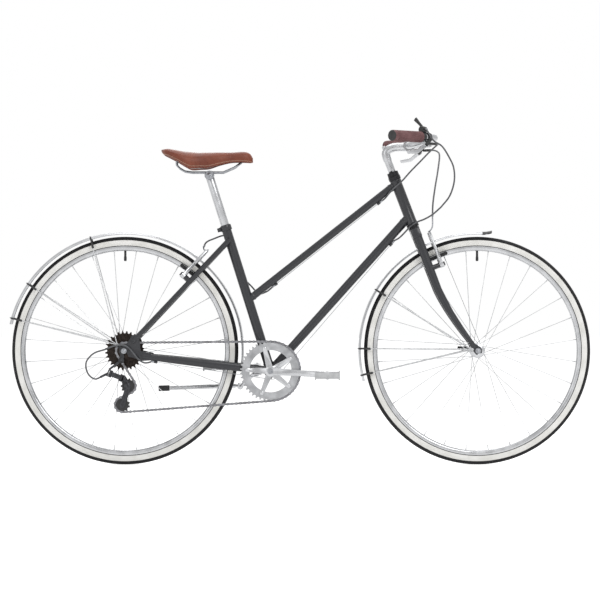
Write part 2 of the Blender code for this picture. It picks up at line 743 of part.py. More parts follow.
def stop_bore(centre, along):
    return rod(centre - along * CABLE_STOP_LENGTH, centre + along * CABLE_STOP_LENGTH, WIRE_BORE, 6)


def top_stop(along):
    return TOP_TUBE_LOW + TOP_TUBE_DIR * along + TOP_TUBE_DOWN * (TOP_TUBE_RADIUS + CABLE_STOP_RADIUS - CABLE_STOP_SINK)


DOWN_STOP_AT = (BOTTOM_BRACKET + DOWN_TUBE_DIR * DOWN_STOP
                + DOWN_TUBE_DOWN * (DOWN_TUBE_RADIUS + CABLE_STOP_RADIUS - CABLE_STOP_SINK))
STAY_STOP_AT = chain_stay(STAY_STOP_SHARE, STAY_STOP_DOWN, -1)
WIRE_UNDER_SHELL = BOTTOM_BRACKET - Z * 0.0253 - Y * 0.010
STAY_STOP_DIR = (WIRE_UNDER_SHELL - STAY_STOP_AT).normalized()


def stud(base, along, start, boss_end, stud_end):
    """A brake boss on a stay or blade, its stud and the head of its bolt."""
    return [rod(base + along * start, base + along * boss_end, BOSS_RADIUS, 6),
            rod(base + along * (boss_end - 0.003), base + along * (stud_end + 0.002), STUD_RADIUS, 6),
            rod(base + along * stud_end, base + along * (stud_end + 0.004), STUD_HEAD, 6)]


frame = [
    rod(BOTTOM_BRACKET, seat(SEAT_TUBE_LENGTH), SEAT_TUBE_RADIUS, 10),
    rod(BOTTOM_BRACKET - Y * BB_SHELL_HALF, BOTTOM_BRACKET + Y * BB_SHELL_HALF, BB_SHELL_RADIUS, 12),
    rod(steer(HEAD_TUBE_LOW), steer(HEAD_TUBE_HIGH), HEAD_TUBE_RADIUS, 12),
    rod(TOP_TUBE_LOW, TOP_TUBE_HIGH - TOP_TUBE_DIR * 0.004, TOP_TUBE_RADIUS, 10),
    rod(BOTTOM_BRACKET, DOWN_TUBE_HIGH - DOWN_TUBE_DIR * 0.004, DOWN_TUBE_RADIUS, 10),
    rod(seat(SEAT_TUBE_LENGTH - 0.017), seat(SEAT_TUBE_LENGTH - 0.001), SEAT_TUBE_RADIUS + 0.003, 10),
    block(seat(SEAT_TUBE_LENGTH - 0.009, SEAT_TUBE_RADIUS + 0.006), (0.006, 0.008, 0.006),
          SEAT_BACK, SEAT_UP),
    rod(seat(SEAT_TUBE_LENGTH - 0.009, SEAT_TUBE_RADIUS + 0.007, -0.013),
        seat(SEAT_TUBE_LENGTH - 0.009, SEAT_TUBE_RADIUS + 0.007, 0.013), 0.0035, 6),
    rod(seat_stay(BRIDGE_ALONG, side=-1), seat_stay(BRIDGE_ALONG, side=1), BRIDGE_RADIUS),
    rod(LOW_BRIDGE - Y * 0.030, LOW_BRIDGE + Y * 0.030, BRIDGE_RADIUS),
    cable_stop(top_stop(TOP_STOPS[0]), TOP_TUBE_DIR),
    cable_stop(top_stop(TOP_STOPS[1]), TOP_TUBE_DIR),
    cable_stop(DOWN_STOP_AT, DOWN_TUBE_DIR),
    cable_stop(STAY_STOP_AT, STAY_STOP_DIR),
    block(BOTTOM_BRACKET - Z * (BB_SHELL_RADIUS + 0.0005) - Y * 0.010, (0.004, 0.006, 0.0030)),
]
SLOT_TILT = math.radians(25.0)
SLOT_DIR = Vector((math.sin(SLOT_TILT), 0.0, -math.cos(SLOT_TILT)))
REAR_EYELET = rear(-0.020, 0.019)
dropout = [(-0.0155, -0.004), (-0.013, 0.008), (-0.004, 0.0145), (0.012, 0.026), (0.024, 0.047),
           (0.038, 0.047), (0.046, 0.030), (0.050, 0.000), (0.082, -0.008), (0.084, -0.028),
           (0.050, -0.030), (0.028, -0.020), (0.016, -0.018), (-0.006, -0.016)]
frame_cuts = [
    rod(seat(SEAT_TUBE_LENGTH - SEAT_BORE_DEPTH), seat(SEAT_TUBE_LENGTH + 0.02), POST_RADIUS + GAP, 10),
    rod(steer(HEAD_TUBE_LOW - 0.02), steer(HEAD_TUBE_HIGH + 0.02), HEAD_TUBE_BORE, 12),
    rod(BOTTOM_BRACKET - Y * (BB_SHELL_HALF + 0.02), BOTTOM_BRACKET + Y * (BB_SHELL_HALF + 0.02),
        BB_BORE, 12),
    stop_bore(top_stop(TOP_STOPS[0]), TOP_TUBE_DIR),
    stop_bore(top_stop(TOP_STOPS[1]), TOP_TUBE_DIR),
    stop_bore(DOWN_STOP_AT, DOWN_TUBE_DIR),
    stop_bore(STAY_STOP_AT, STAY_STOP_DIR),
]
for side in (-1, 1):
    frame.append(rod(seat_stay(STAY_START - 0.010, side=side), seat_stay(STAY_SPAN, side=side),
                     SEAT_STAY_RADIUS * 0.9, 8, SEAT_STAY_RADIUS))
    frame.append(swept([chain_stay(share, side=side) for share, _, _ in CHAIN_STAY_SIZES],
                       [(wide, high) for _, wide, high in CHAIN_STAY_SIZES], Z, sides=8))
    middle = REAR_AXLE + Y * side * DROPOUT_MIDDLE
    frame.append(plate(dropout, middle, X, Z, DROPOUT_THICKNESS))
    frame.append(beam(middle + Vector((-0.006, 0.0, 0.004)), REAR_EYELET + Y * side * DROPOUT_MIDDLE,
                      DROPOUT_THICKNESS / 2 - 0.0004, 0.004, Z))
    frame += stud(seat_stay(BOSS_HEIGHT, side=side), STAY_BACK, 0.003,
                  REAR_ARM_OFFSET - ARM_HALF_THICKNESS - GAP, REAR_STUD_END)
    frame_cuts.append(block(middle + SLOT_DIR * 0.02, (0.02, 0.02, REAR_AXLE_RADIUS + GAP), SLOT_DIR,
                            SLOT_DIR.cross(Y)))
    frame_cuts.append(disc(middle, Y, REAR_AXLE_RADIUS + 2 * GAP, 0.02, 12))
frame.append(beam(rear(-0.004, -0.010, -DROPOUT_MIDDLE), rear(HANGER_X, HANGER_Z, -DROPOUT_MIDDLE),
                  DROPOUT_THICKNESS / 2 - 0.0004, 0.0065, X))
frame.append(disc(rear(HANGER_X, HANGER_Z, -DROPOUT_MIDDLE), Y, 0.009, DROPOUT_THICKNESS / 2 - 0.0002))
piece("frame", frame, CHARCOAL, cuts=frame_cuts)

# Headset: a cup pressed into each end of the head tube and the locknut on the steerer.
for cup_name, foot, way in (("headset_lower_cup", steer(HEAD_TUBE_LOW), -1),
                            ("headset_upper_cup", steer(HEAD_TUBE_HIGH), 1)):
    cup_bore = running_bore(STEERER_RADIUS, 12)
    cup = [(cup_bore, -0.009), (HEAD_TUBE_BORE - GAP, -0.009),
           (HEAD_TUBE_BORE - GAP, GAP), (CUP_RADIUS, GAP), (CUP_RADIUS, CUP_HEIGHT),
           (cup_bore, CUP_HEIGHT)]
    piece(cup_name, [turned(cup, foot, STEER_UP * way, 12, hollow=True)], DARK_STEEL, foot)
locknut_foot = steer(HEAD_TUBE_HIGH + CUP_HEIGHT + GAP)
locknut_lip = STEERER_TOP - HEAD_TUBE_HIGH - CUP_HEIGHT
locknut = [(STEERER_RADIUS + GAP, 0.0), (0.0175, 0.0), (0.0165, LOCKNUT_HEIGHT),
           (STEERER_BORE, LOCKNUT_HEIGHT), (STEERER_BORE, locknut_lip), (STEERER_RADIUS + GAP, locknut_lip)]
piece("headset_locknut", [turned(locknut, locknut_foot, STEER_UP, 12, hollow=True)], BLACK, locknut_foot)

# Bottom bracket: a sealed unit with a collar outside each end of the shell, and its spindle.
collar = BB_SHELL_HALF + GAP
spindle_bore = running_bore(SPINDLE_RADIUS, 12)
unit = [(spindle_bore, -collar - BB_CUP_WIDTH), (BB_SHELL_RADIUS - 0.001, -collar - BB_CUP_WIDTH),
        (BB_SHELL_RADIUS - 0.001, -collar), (BB_BORE - GAP, -collar), (BB_BORE - GAP, collar),
        (BB_SHELL_RADIUS - 0.001, collar), (BB_SHELL_RADIUS - 0.001, collar + BB_CUP_WIDTH),
        (spindle_bore, collar + BB_CUP_WIDTH)]
piece("bottom_bracket", [turned(unit, BOTTOM_BRACKET, Y, 12, hollow=True)], DARK_STEEL, BOTTOM_BRACKET)


# Fork

def blade(height, out=0.0, side=0.0):
    """A point on a fork blade, which bends forward below BLADE_BEND_START and spreads downwards."""
    bend = max(0.0, (BLADE_BEND_START - height) / BLADE_BEND_START)
    share = (CROWN_LOW - height) / CROWN_LOW
    spread = mixed(BLADE_TOP_SPREAD, BLADE_TIP_SPREAD, share)
    return steer(height, FORK_RAKE * bend ** 1.5 + out, side * spread)


BLADE_SIZES = ((0.030, 0.007, 0.007), (0.080, 0.0087, 0.0076), (0.140, 0.0102, 0.0086),
               (0.215, 0.0118, 0.0098), (0.392, 0.0138, 0.0095))
FORK_TIP_MIDDLE = FRONT_OVER_NUTS / 2 + FORK_TIP_THICKNESS / 2
FRONT_EYELET = FRONT_AXLE + Vector((-0.018, 0.0, 0.004))
fork_tip = [(0.0125, 0.0), (0.011, 0.009), (0.0, 0.022), (-0.006, 0.040), (-0.018, 0.040),
            (-0.015, 0.014), (-0.0125, 0.0), (-0.009, -0.009), (0.0, -0.0125), (0.009, -0.009)]
fork = [
    rod(steer(CROWN_LOW + 0.010), steer(STEERER_TOP), STEERER_RADIUS, 12),
    block(steer((CROWN_LOW + CROWN_HIGH) / 2),
          (CROWN_HALF_LENGTH, BLADE_TOP_SPREAD + 0.011, (CROWN_HIGH - CROWN_LOW) / 2), STEER_OUT, STEER_UP),
    rod(steer(CROWN_HIGH - 0.002), steer(HEAD_TUBE_LOW - CUP_HEIGHT - GAP - RUNNING_GAP), 0.0165, 12),
]
fork_cuts = [rod(steer(QUILL_LOW - STEM_DROP - 0.010), steer(STEERER_TOP + 0.02), STEERER_BORE, 12)]
for side in (-1, 1):
    rings = []
    for height, out, wide in BLADE_SIZES:
        centre = blade(height, side=side)
        rings.append([centre + STEER_OUT * (math.cos(2 * math.pi * k / 8) * out)
                      + Y * (math.sin(2 * math.pi * k / 8) * wide) for k in range(8)])
    fork.append(loft(rings))
    middle = FRONT_AXLE + Y * side * FORK_TIP_MIDDLE
    fork.append(plate(fork_tip, middle, STEER_OUT, STEER_UP, FORK_TIP_THICKNESS))
    fork.append(disc(FRONT_EYELET + Y * side * FORK_TIP_MIDDLE, Y, EYELET_RADIUS + 0.001,
                     FORK_TIP_THICKNESS / 2 - 0.0003, 8))
    fork += stud(blade(FRONT_BOSS_HEIGHT, side=side), STEER_OUT, 0.004,
                 FRONT_ARM_OFFSET - ARM_HALF_THICKNESS - GAP, FRONT_STUD_END)
    fork_cuts.append(block(middle - STEER_UP * 0.02, (FRONT_AXLE_RADIUS + GAP, 0.02, 0.02),
                           STEER_OUT, STEER_UP))
    fork_cuts.append(disc(middle, Y, FRONT_AXLE_RADIUS + 2 * GAP, 0.02, 12))
piece("fork", fork, CHARCOAL, steer(CROWN_HIGH), fork_cuts)


# Mudguards

def guard(name, axle, start, end, tabs):
    """A curved blade over the tyre, with a tab at each (angle, outer radius, half width)."""
    outer = [(-GUARD_HALF, GUARD_RADIUS - GUARD_DROP), (-GUARD_HALF * 0.55, GUARD_RADIUS),
             (GUARD_HALF * 0.55, GUARD_RADIUS), (GUARD_HALF, GUARD_RADIUS - GUARD_DROP)]
    inner = [(side * 0.94, radius - GUARD_WALL) for side, radius in reversed(outer)]
    steps = round((end - start) / GUARD_STEP)
    rings = []
    for k in range(steps + 1):
        direction = radial(mixed(start, end, k / steps))
        rings.append([axle + direction * radius + Y * side for side, radius in outer + inner])
    shapes = [loft(rings)]
    for angle, reach, half in tabs:
        low = GUARD_RADIUS * math.cos(GUARD_STEP / 2) - GUARD_WALL
        shapes.append(block(axle + radial(angle) * (low + reach) / 2, ((reach - low) / 2, half, 0.004),
                            radial(angle), Y.cross(radial(angle))))
    piece(name, shapes, GUARD_SILVER, axle)


def stay_wires(name, axle, eyelet, dropout_face, clips):
    """Wires from an eyelet on each side, each bent over the guard, with a clip near its edge."""
    eye = dropout_face + GAP + ROD_RADIUS + 0.0003
    shapes = [disc(eyelet + Y * side * eye, Y, EYELET_RADIUS, ROD_RADIUS + 0.0003, 6) for side in (-1, 1)]
    for angle in clips:
        out = radial(angle)
        edge = axle + out * (GUARD_RADIUS - GUARD_DROP + 0.001) + Y * (GUARD_HALF + ROD_RADIUS + GAP)
        foot = eyelet + Y * eye
        over = axle + out * (GUARD_RADIUS + ROD_RADIUS + GAP) + Y * (GUARD_HALF * 0.55 + 0.001)
        half = [(foot, ROD_RADIUS), (mixed(foot, edge, 0.90), ROD_RADIUS), (mixed(foot, edge, 0.93), CLIP_RADIUS),
                (mixed(foot, edge, 0.96), ROD_RADIUS), (edge, ROD_RADIUS), (over, ROD_RADIUS)]
        path = half + [(Vector((p.x, -p.y, p.z)), radius) for p, radius in reversed(half)]
        shapes.append(swept([p for p, _ in path], [(r, r) for _, r in path], out.cross(Y), sides=3))
    piece(name, shapes, SATIN, axle)


low_bridge_from_axle = LOW_BRIDGE - REAR_AXLE
guard("mudguard_rear", REAR_AXLE, REAR_GUARD_FROM, REAR_GUARD_TO,
      [(math.atan2(STAY_UP.z, STAY_UP.x), BRIDGE_ALONG - BRIDGE_RADIUS - GAP, 0.005),
       (math.atan2(low_bridge_from_axle.z, low_bridge_from_axle.x),
        low_bridge_from_axle.length - BRIDGE_RADIUS - GAP, 0.005)])
crown_from_axle = steer(CROWN_LOW) - FRONT_AXLE
guard("mudguard_front", FRONT_AXLE, FRONT_GUARD_FROM, FRONT_GUARD_TO,
      [(math.atan2(crown_from_axle.z, crown_from_axle.x), crown_from_axle.length - GAP - 0.0004, 0.006)])
stay_wires("mudguard_stays_rear", REAR_AXLE, REAR_EYELET, REAR_OVER_NUTS / 2 + DROPOUT_THICKNESS, REAR_CLIPS)
stay_wires("mudguard_stays_front", FRONT_AXLE, FRONT_EYELET, FRONT_OVER_NUTS / 2 + FORK_TIP_THICKNESS,
           FRONT_CLIPS)


# Crank set

def crank_point(side, reach, depth):
    """A point on a crank by its distance from the spindle and its depth outside the centre plane."""
    direction = radial(CRANK_REST) * -side
    flare = CRANK_FLARE * reach / CRANK_LENGTH
    return BOTTOM_BRACKET + direction * reach + Y * side * (depth + flare)


CRANK_OUTER = CRANK_FACE + CRANK_THICKNESS
PEDAL_INNER = CRANK_OUTER + CRANK_FLARE + 0.0015


def crank(name, side, extra):
    """An arm, its boss round the spindle and its eye, with the axle of the pedal."""
    middle = CRANK_FACE + CRANK_THICKNESS / 2
    half = CRANK_THICKNESS / 2
    eye = crank_point(side, CRANK_LENGTH, middle)
    face = crank_point(side, CRANK_LENGTH, CRANK_OUTER)
    shapes = [
        rod(BOTTOM_BRACKET + Y * side * CRANK_BOSS_INNER, BOTTOM_BRACKET + Y * side * CRANK_OUTER,
            CRANK_BOSS_RADIUS, 12),
        swept([crank_point(side, reach, middle) for reach in (0.004, 0.080, CRANK_LENGTH)],
              [(0.0115, half), (0.0090, half), (0.0095, half)], Y, square=True),
        disc(eye, Y, CRANK_EYE_RADIUS, half, 10),
        rod(face - Y * side * 0.002, face + Y * side * 0.0011, 0.0075, 6),
        rod(face - Y * side * 0.002, face + Y * side * PEDAL_AXLE_LENGTH, PEDAL_AXLE_RADIUS, 8),
    ]
    bore = rod(BOTTOM_BRACKET + Y * side * 0.030, BOTTOM_BRACKET + Y * side * 0.080, SPINDLE_RADIUS + GAP, 12)
    piece(name, shapes + extra, SATIN, BOTTOM_BRACKET, [bore])


piece("spindle", [rod(BOTTOM_BRACKET - Y * SPINDLE_HALF, BOTTOM_BRACKET + Y * SPINDLE_HALF,
                      SPINDLE_RADIUS, 12)], DARK_STEEL, BOTTOM_BRACKET)
ring_face = RING_PLANE - TOOTH_THICKNESS / 2 - GAP
spider_centre = BOTTOM_BRACKET + Y * (ring_face - SPIDER_THICKNESS / 2)
spider = []
for k in range(5):
    out = radial(CRANK_REST - math.pi / 5 - 2 * math.pi / 5 * k)
    outline = [(0.008, 0.010), (0.060, 0.0065), (SPIDER_REACH, 0.0045),
               (SPIDER_REACH, -0.0045), (0.060, -0.0065), (0.008, -0.010)]
    spider.append(plate(outline, spider_centre, out, out.cross(Y), SPIDER_THICKNESS))
    bolt = spider_centre + out * RING_BOLT_CIRCLE - Y * (SPIDER_THICKNESS / 2)
    spider.append(rod(bolt + Y * 0.001, bolt - Y * 0.002, 0.005, 5))
crank("crank_right", -1, spider)
crank("crank_left", 1, [])
piece("chainring", [toothed(RING_TEETH, BOTTOM_BRACKET + Y * RING_PLANE)], SATIN, BOTTOM_BRACKET,
      [disc(BOTTOM_BRACKET + Y * RING_PLANE, Y, RING_INNER, 0.01, 20)])

# Pedals: a barrel on the axle, two long side plates and two end plates
for pedal_name, side in (("pedal_right", -1), ("pedal_left", 1)):
    axle = BOTTOM_BRACKET + radial(CRANK_REST) * CRANK_LENGTH * -side
    inner = axle + Y * side * PEDAL_INNER
    outer = axle + Y * side * (PEDAL_INNER + PEDAL_WIDTH)
    shapes = [rod(inner, outer, PEDAL_BARREL, 8)]
    for end in (inner + Y * side * PEDAL_PLATE / 2, outer - Y * side * PEDAL_PLATE / 2):
        shapes.append(block(end, (PEDAL_HALF_LENGTH, PEDAL_PLATE / 2, PEDAL_HALF_HEIGHT * 0.7)))
    for way in (-1, 1):
        middle = mixed(inner, outer, 0.5) + X * way * (PEDAL_HALF_LENGTH - PEDAL_PLATE / 2)
        shapes.append(block(middle, (PEDAL_PLATE / 2, PEDAL_WIDTH / 2, PEDAL_HALF_HEIGHT)))
    bore = rod(axle + Y * side * (PEDAL_INNER - 0.01),
               axle + Y * side * (CRANK_OUTER + CRANK_FLARE + PEDAL_AXLE_LENGTH + 0.001),
               running_bore(PEDAL_AXLE_RADIUS, 8), 8)
    piece(pedal_name, shapes, BLACK, axle, [bore])

# Sprockets on the freewheel's body, which turns on the axle beside the hub, the largest nearest the spokes
carrier_low = SMALL_SPROCKET_PLANE - 0.002
carrier_high = SMALL_SPROCKET_PLANE + SPROCKET_PITCH * 6 + 0.002
cluster = [rod(REAR_AXLE + Y * carrier_low, REAR_AXLE + Y * carrier_high, SPROCKET_CARRIER, 12),
           rod(REAR_AXLE - Y * REAR_HUB_END, REAR_AXLE - Y * (DRIVE_HUB_END + RUNNING_GAP),
               CARRIER_RADIUS, 12)]
for k, teeth in enumerate(SPROCKETS):
    centre = REAR_AXLE + Y * (SMALL_SPROCKET_PLANE + SPROCKET_PITCH * (6 - k))
    if k == 6:
        cluster.append(toothed(teeth, centre))
    else:
        cluster.append(disc(centre, Y, pitch_radius(teeth) + 0.0005, 0.001, 12))
piece("sprocket_cluster", cluster, DARK_STEEL, REAR_AXLE,
      [rod(REAR_AXLE + Y * (carrier_low - 0.01), REAR_AXLE + Y * (carrier_high + 0.01),
           running_bore(REAR_AXLE_RADIUS, 12), 12)])

# Chain: one loop with its plates each side of the teeth and a web outside them
GUIDE_AXLE = rear(GUIDE_X, GUIDE_Z, SMALL_SPROCKET_PLANE)
TENSION_AXLE = rear(TENSION_X, TENSION_Z, SMALL_SPROCKET_PLANE)


def turn(vector, angle):
    """A vector of the wheels' plane turned from +X towards +Z."""
    sin, cos = math.sin(angle), math.cos(angle)
    return X * (vector.x * cos - vector.z * sin) + Z * (vector.x * sin + vector.z * cos)


def chain_ring(point, ahead, web):
    """The chain's outline at a point, with its web this far inside the loop's centre line."""
    inside = turn(ahead, math.pi / 2)
    half = TOOTH_THICKNESS / 2 + RUNNING_GAP + CHAIN_PLATE
    slot = half - CHAIN_PLATE
    low, high = web - CHAIN_WEB / 2, web + CHAIN_WEB / 2
    edge = CHAIN_HALF_HEIGHT
    outline = [(-half, -edge), (-slot, -edge), (-slot, low), (slot, low), (slot, -edge), (half, -edge),
               (half, edge), (slot, edge), (slot, high), (-slot, high), (-slot, edge), (-half, edge)]
    return [point + Y * wide + inside * up for wide, up in outline]


wheels = [(BOTTOM_BRACKET + Y * RING_PLANE, pitch_radius(RING_TEETH), 1, math.radians(16)),
          (REAR_AXLE + Y * SMALL_SPROCKET_PLANE, pitch_radius(SPROCKETS[-1]), 1, math.radians(30)),
          (GUIDE_AXLE, pitch_radius(PULLEY_TEETH), -1, math.radians(30)),
          (TENSION_AXLE, pitch_radius(PULLEY_TEETH), 1, math.radians(30))]
spans = []
for k, (centre, radius, way, _) in enumerate(wheels):
    far, far_radius, far_way, _ = wheels[(k + 1) % 4]
    apart = Vector((far.x - centre.x, 0.0, far.z - centre.z))
    offset = far_way * far_radius - way * radius
    ahead = turn(apart.normalized(), -math.atan2(offset, math.sqrt(apart.length_squared - offset ** 2)))
    inside = turn(ahead, math.pi / 2)
    spans.append((centre - inside * way * radius, far - inside * far_way * far_radius, ahead))
chain = []
for k, (centre, radius, way, step) in enumerate(wheels):
    meet = spans[k - 1][1] - centre
    leave = spans[k][0] - centre
    start = math.atan2(meet.z, meet.x)
    sweep = ((math.atan2(leave.z, leave.x) - start) * way) % (2 * math.pi)
    count = math.ceil(sweep / step)
    for i in range(count + 1):
        out = radial(start + way * sweep * i / count)
        chain.append(chain_ring(centre + out * radius, turn(out, way * math.pi / 2), -way * CHAIN_WEB_OFFSET))
    first, last, ahead = spans[k]
    if abs(first.y - last.y) > GAP:
        holds = (0.09, 0.95) if k == 0 else (0.05, 0.91)
        for share, level in zip(holds, (first.y, last.y)):
            spot = mixed(first, last, share)
            chain.append(chain_ring(Vector((spot.x, level, spot.z)), ahead, -way * CHAIN_WEB_OFFSET))
    if way != wheels[(k + 1) % 4][2]:
        chain.append(chain_ring(mixed(first, last, 0.25), ahead, -way * CHAIN_WEB_OFFSET))
        chain.append(chain_ring(mixed(first, last, 0.75), ahead, way * CHAIN_WEB_OFFSET))
piece("chain", [loft(chain, closed=True)], DARK_STEEL)


# Rear derailleur: a bracket on the hanger, two links, a knuckle and the cage with its pulleys

LINK_ALONG = X * math.cos(LINK_SLOPE) + Z * math.sin(LINK_SLOPE)
LINK_AXIS = LINK_ALONG.cross(Y)
LINK_ROOT = rear(LINK_ROOT_X, LINK_ROOT_Z, LINK_OUTER_Y)
LINK_REACH = (LINK_ALONG * math.cos(LINK_REST) + Y * math.sin(LINK_REST)) * LINK_LENGTH
LUG_INNER = LINK_HALF_HEIGHT + GAP
LUG_OUTER = LUG_INNER + LUG_THICKNESS
CAGE_PIVOT_Y = SMALL_SPROCKET_PLANE - CAGE_GAP - CAGE_PLATE
HANGER_FACE = -(REAR_OVER_NUTS / 2 + DROPOUT_THICKNESS + GAP)
BARREL_END = rear(-0.070, -0.078, LINK_OUTER_Y + 0.005)


def lugs(root, way, low, high):
    """Two pins from root inwards with the lugs that hold them and the web behind or ahead of them."""
    inner = root + Y * LINK_SPACING
    shapes = []
    for pin in (root, inner):
        shapes.append(rod(pin - LINK_AXIS * (LUG_OUTER - 0.0005), pin + LINK_AXIS * (LUG_OUTER - 0.0005),
                          LINK_PIN, 8))
    for up in (-1, 1):
        middle = Vector((root.x, (low + high) / 2, root.z)) + LINK_AXIS * up * (LUG_INNER + LUG_THICKNESS / 2)
        shapes.append(block(middle + LINK_ALONG * way * 0.0015, (0.0070, (high - low) / 2, LUG_THICKNESS / 2),
                            LINK_ALONG, LINK_AXIS))
    web = Vector((root.x, (low + high) / 2, root.z)) + LINK_ALONG * way * 0.0075
    shapes.append(block(web, (0.0015, (high - low) / 2, LUG_OUTER - 0.0002), LINK_ALONG, LINK_AXIS))
    return shapes


hanger_bolt = rear(HANGER_X, HANGER_Z)
bracket = lugs(LINK_ROOT, -1, LINK_OUTER_Y - 0.0065, LINK_OUTER_Y + LINK_SPACING + 0.0065)
bracket += [
    rod(hanger_bolt + Y * HANGER_FACE, hanger_bolt + Y * (HANGER_FACE - 0.012), 0.0085, 8),
    beam(hanger_bolt + Y * (HANGER_FACE - 0.006),
         LINK_ROOT + Y * LINK_SPACING / 2 + LINK_AXIS * 0.0105 - LINK_ALONG * 0.0075, 0.0045, 0.0030, LINK_ALONG),
    rod(rear(-0.046, -0.066, LINK_OUTER_Y + 0.005), BARREL_END, 0.0035, 8),
]
piece("derailleur_bracket", bracket, BLACK)
for link_name, shift in (("derailleur_outer_link", 0.0), ("derailleur_inner_link", LINK_SPACING)):
    root = LINK_ROOT + Y * shift
    shapes = [beam(root, root + LINK_REACH, LINK_THICKNESS / 2, LINK_HALF_HEIGHT - 0.0004, LINK_AXIS)]
    shapes += [disc(end, LINK_AXIS, LINK_BARREL, LINK_HALF_HEIGHT, 8) for end in (root, root + LINK_REACH)]
    bores = [disc(end, LINK_AXIS, running_bore(LINK_PIN, 8), 0.02, 8) for end in (root, root + LINK_REACH)]
    piece(link_name, shapes, SATIN, root, bores)
knuckle_root = LINK_ROOT + LINK_REACH
cage_pivot = Vector((knuckle_root.x, 0.0, knuckle_root.z)) + LINK_ALONG * 0.0075 - LINK_AXIS * 0.001
knuckle_face = CAGE_PIVOT_Y - 0.0005
knuckle = lugs(knuckle_root, 1, knuckle_root.y - 0.0065, knuckle_face - 0.0002)
knuckle.append(rod(cage_pivot + Y * knuckle_face, cage_pivot + Y * (knuckle_face - 0.006), 0.0070, 8))
piece("derailleur_knuckle", knuckle, BLACK, knuckle_root,
      [rod(cage_pivot + Y * (knuckle_face + 0.01), cage_pivot + Y * (knuckle_face - 0.005), 0.0044, 8)])


def cage_plate(outline, low, high):
    """A cage plate between two planes, its outline placed from the rear axle."""
    return plate(outline, REAR_AXLE + Y * (low + high) / 2, X, Z, high - low)


px, pz = cage_pivot.x - REAR_AXLE.x, cage_pivot.z - REAR_AXLE.z
gx, gz, tx, tz = GUIDE_X, GUIDE_Z, TENSION_X, TENSION_Z
lower_plate = [(gx + 0.006, gz - 0.009), (tx + 0.008, tz - 0.003), (tx + 0.0035, tz - 0.0085),
               (tx - 0.0035, tz - 0.0085), (tx - 0.008, tz - 0.002), (tx - 0.0065, tz + 0.005)]
outer_plate = [(px - 0.008, pz + 0.002), (px - 0.004, pz + 0.0085), (px + 0.005, pz + 0.008),
               (gx + 0.0065, gz + 0.008), (gx + 0.009, gz - 0.001), *lower_plate,
               (gx - 0.010, gz - 0.007), (px - 0.007, pz - 0.006)]
inner_plate = [(gx - 0.008, gz + 0.002), (gx - 0.004, gz + 0.008), (gx + 0.0045, gz + 0.008),
               (gx + 0.009, gz), *lower_plate, (gx - 0.0085, gz - 0.005)]
cage_outer = SMALL_SPROCKET_PLANE - CAGE_GAP
cage_inner = SMALL_SPROCKET_PLANE + CAGE_GAP
cage = [cage_plate(outer_plate, cage_outer - CAGE_PLATE, cage_outer),
        cage_plate(inner_plate, cage_inner, cage_inner + CAGE_PLATE),
        rod(cage_pivot + Y * (cage_outer - 0.001), cage_pivot + Y * (knuckle_face - 0.0045), 0.004, 8)]
for pulley_axle in (GUIDE_AXLE, TENSION_AXLE):
    cage.append(disc(pulley_axle, Y, CAGE_BOLT, CAGE_GAP + CAGE_PLATE + 0.0015, 8))
piece("derailleur_cage", cage, BLACK, cage_pivot + Y * cage_outer)
for pulley_name, pulley_axle in (("guide_pulley", GUIDE_AXLE), ("tension_pulley", TENSION_AXLE)):
    piece(pulley_name, [toothed(PULLEY_TEETH, pulley_axle), disc(pulley_axle, Y, 0.0055, CAGE_GAP - GAP, 8)],
          BLACK, pulley_axle, [disc(pulley_axle, Y, running_bore(CAGE_BOLT, 8), 0.02, 8)])


# Stem and handlebar

BAR_CENTRE = steer(BAR_CLAMP_HEIGHT, STEM_REACH)
CLAMP_OUTER = BAR_BULGE + GAP + BAR_CLAMP_WALL
neck = [steer(NECK_HEIGHT), steer(NECK_HEIGHT + 0.014, 0.003), steer(NECK_HEIGHT + 0.021, 0.014),
        steer(NECK_HEIGHT + 0.021, 0.034), steer(BAR_CLAMP_HEIGHT, STEM_REACH - 0.004)]
piece("stem",
      [rod(steer(QUILL_LOW), steer(NECK_HEIGHT + 0.004), QUILL_RADIUS, 12),
       swept(neck, (STEM_HALF, STEM_HALF), Y, sides=10),
       rod(BAR_CENTRE - Y * BAR_CLAMP_HALF, BAR_CENTRE + Y * BAR_CLAMP_HALF, CLAMP_OUTER, 12),
       rod(steer(NECK_HEIGHT + 0.026, 0.003), steer(NECK_HEIGHT + 0.0355, 0.003), 0.0055, 6)],
      SILVER, steer(NECK_HEIGHT),
      [rod(BAR_CENTRE - Y * 0.04, BAR_CENTRE + Y * 0.04, BAR_BULGE + GAP, 8)])

BAR_END_OUT = Vector((-math.sin(BAR_SWEEP), math.cos(BAR_SWEEP), 0.0))
bar_end_left = BAR_CENTRE + Vector((-BAR_END_BACK, BAR_HALF_WIDTH, BAR_RISE))
straight = bar_end_left - BAR_END_OUT * BAR_STRAIGHT
bend = smooth_path([BAR_CENTRE + Y * 0.035, BAR_CENTRE + Vector((0.020, 0.075, 0.005)),
                    BAR_CENTRE + Vector((0.048, 0.110, 0.012)), BAR_CENTRE + Vector((0.064, 0.135, 0.015)),
                    BAR_CENTRE + Vector((0.068, 0.160, 0.015)), straight], 1)
half_bar = [(BAR_CENTRE, BAR_BULGE), (BAR_CENTRE + Y * (BAR_CLAMP_HALF + 0.002), BAR_BULGE),
            (BAR_CENTRE + Y * (BAR_CLAMP_HALF + 0.006), BAR_RADIUS)]
half_bar += [(point, BAR_RADIUS) for point in bend[1:]] + [(bar_end_left, BAR_RADIUS)]
bar = [(Vector((p.x, -p.y, p.z)), r) for p, r in reversed(half_bar[1:])] + half_bar
piece("handlebar", [swept([p for p, _ in bar], [(r, r) for _, r in bar], Z, sides=8)], SATIN, BAR_CENTRE)


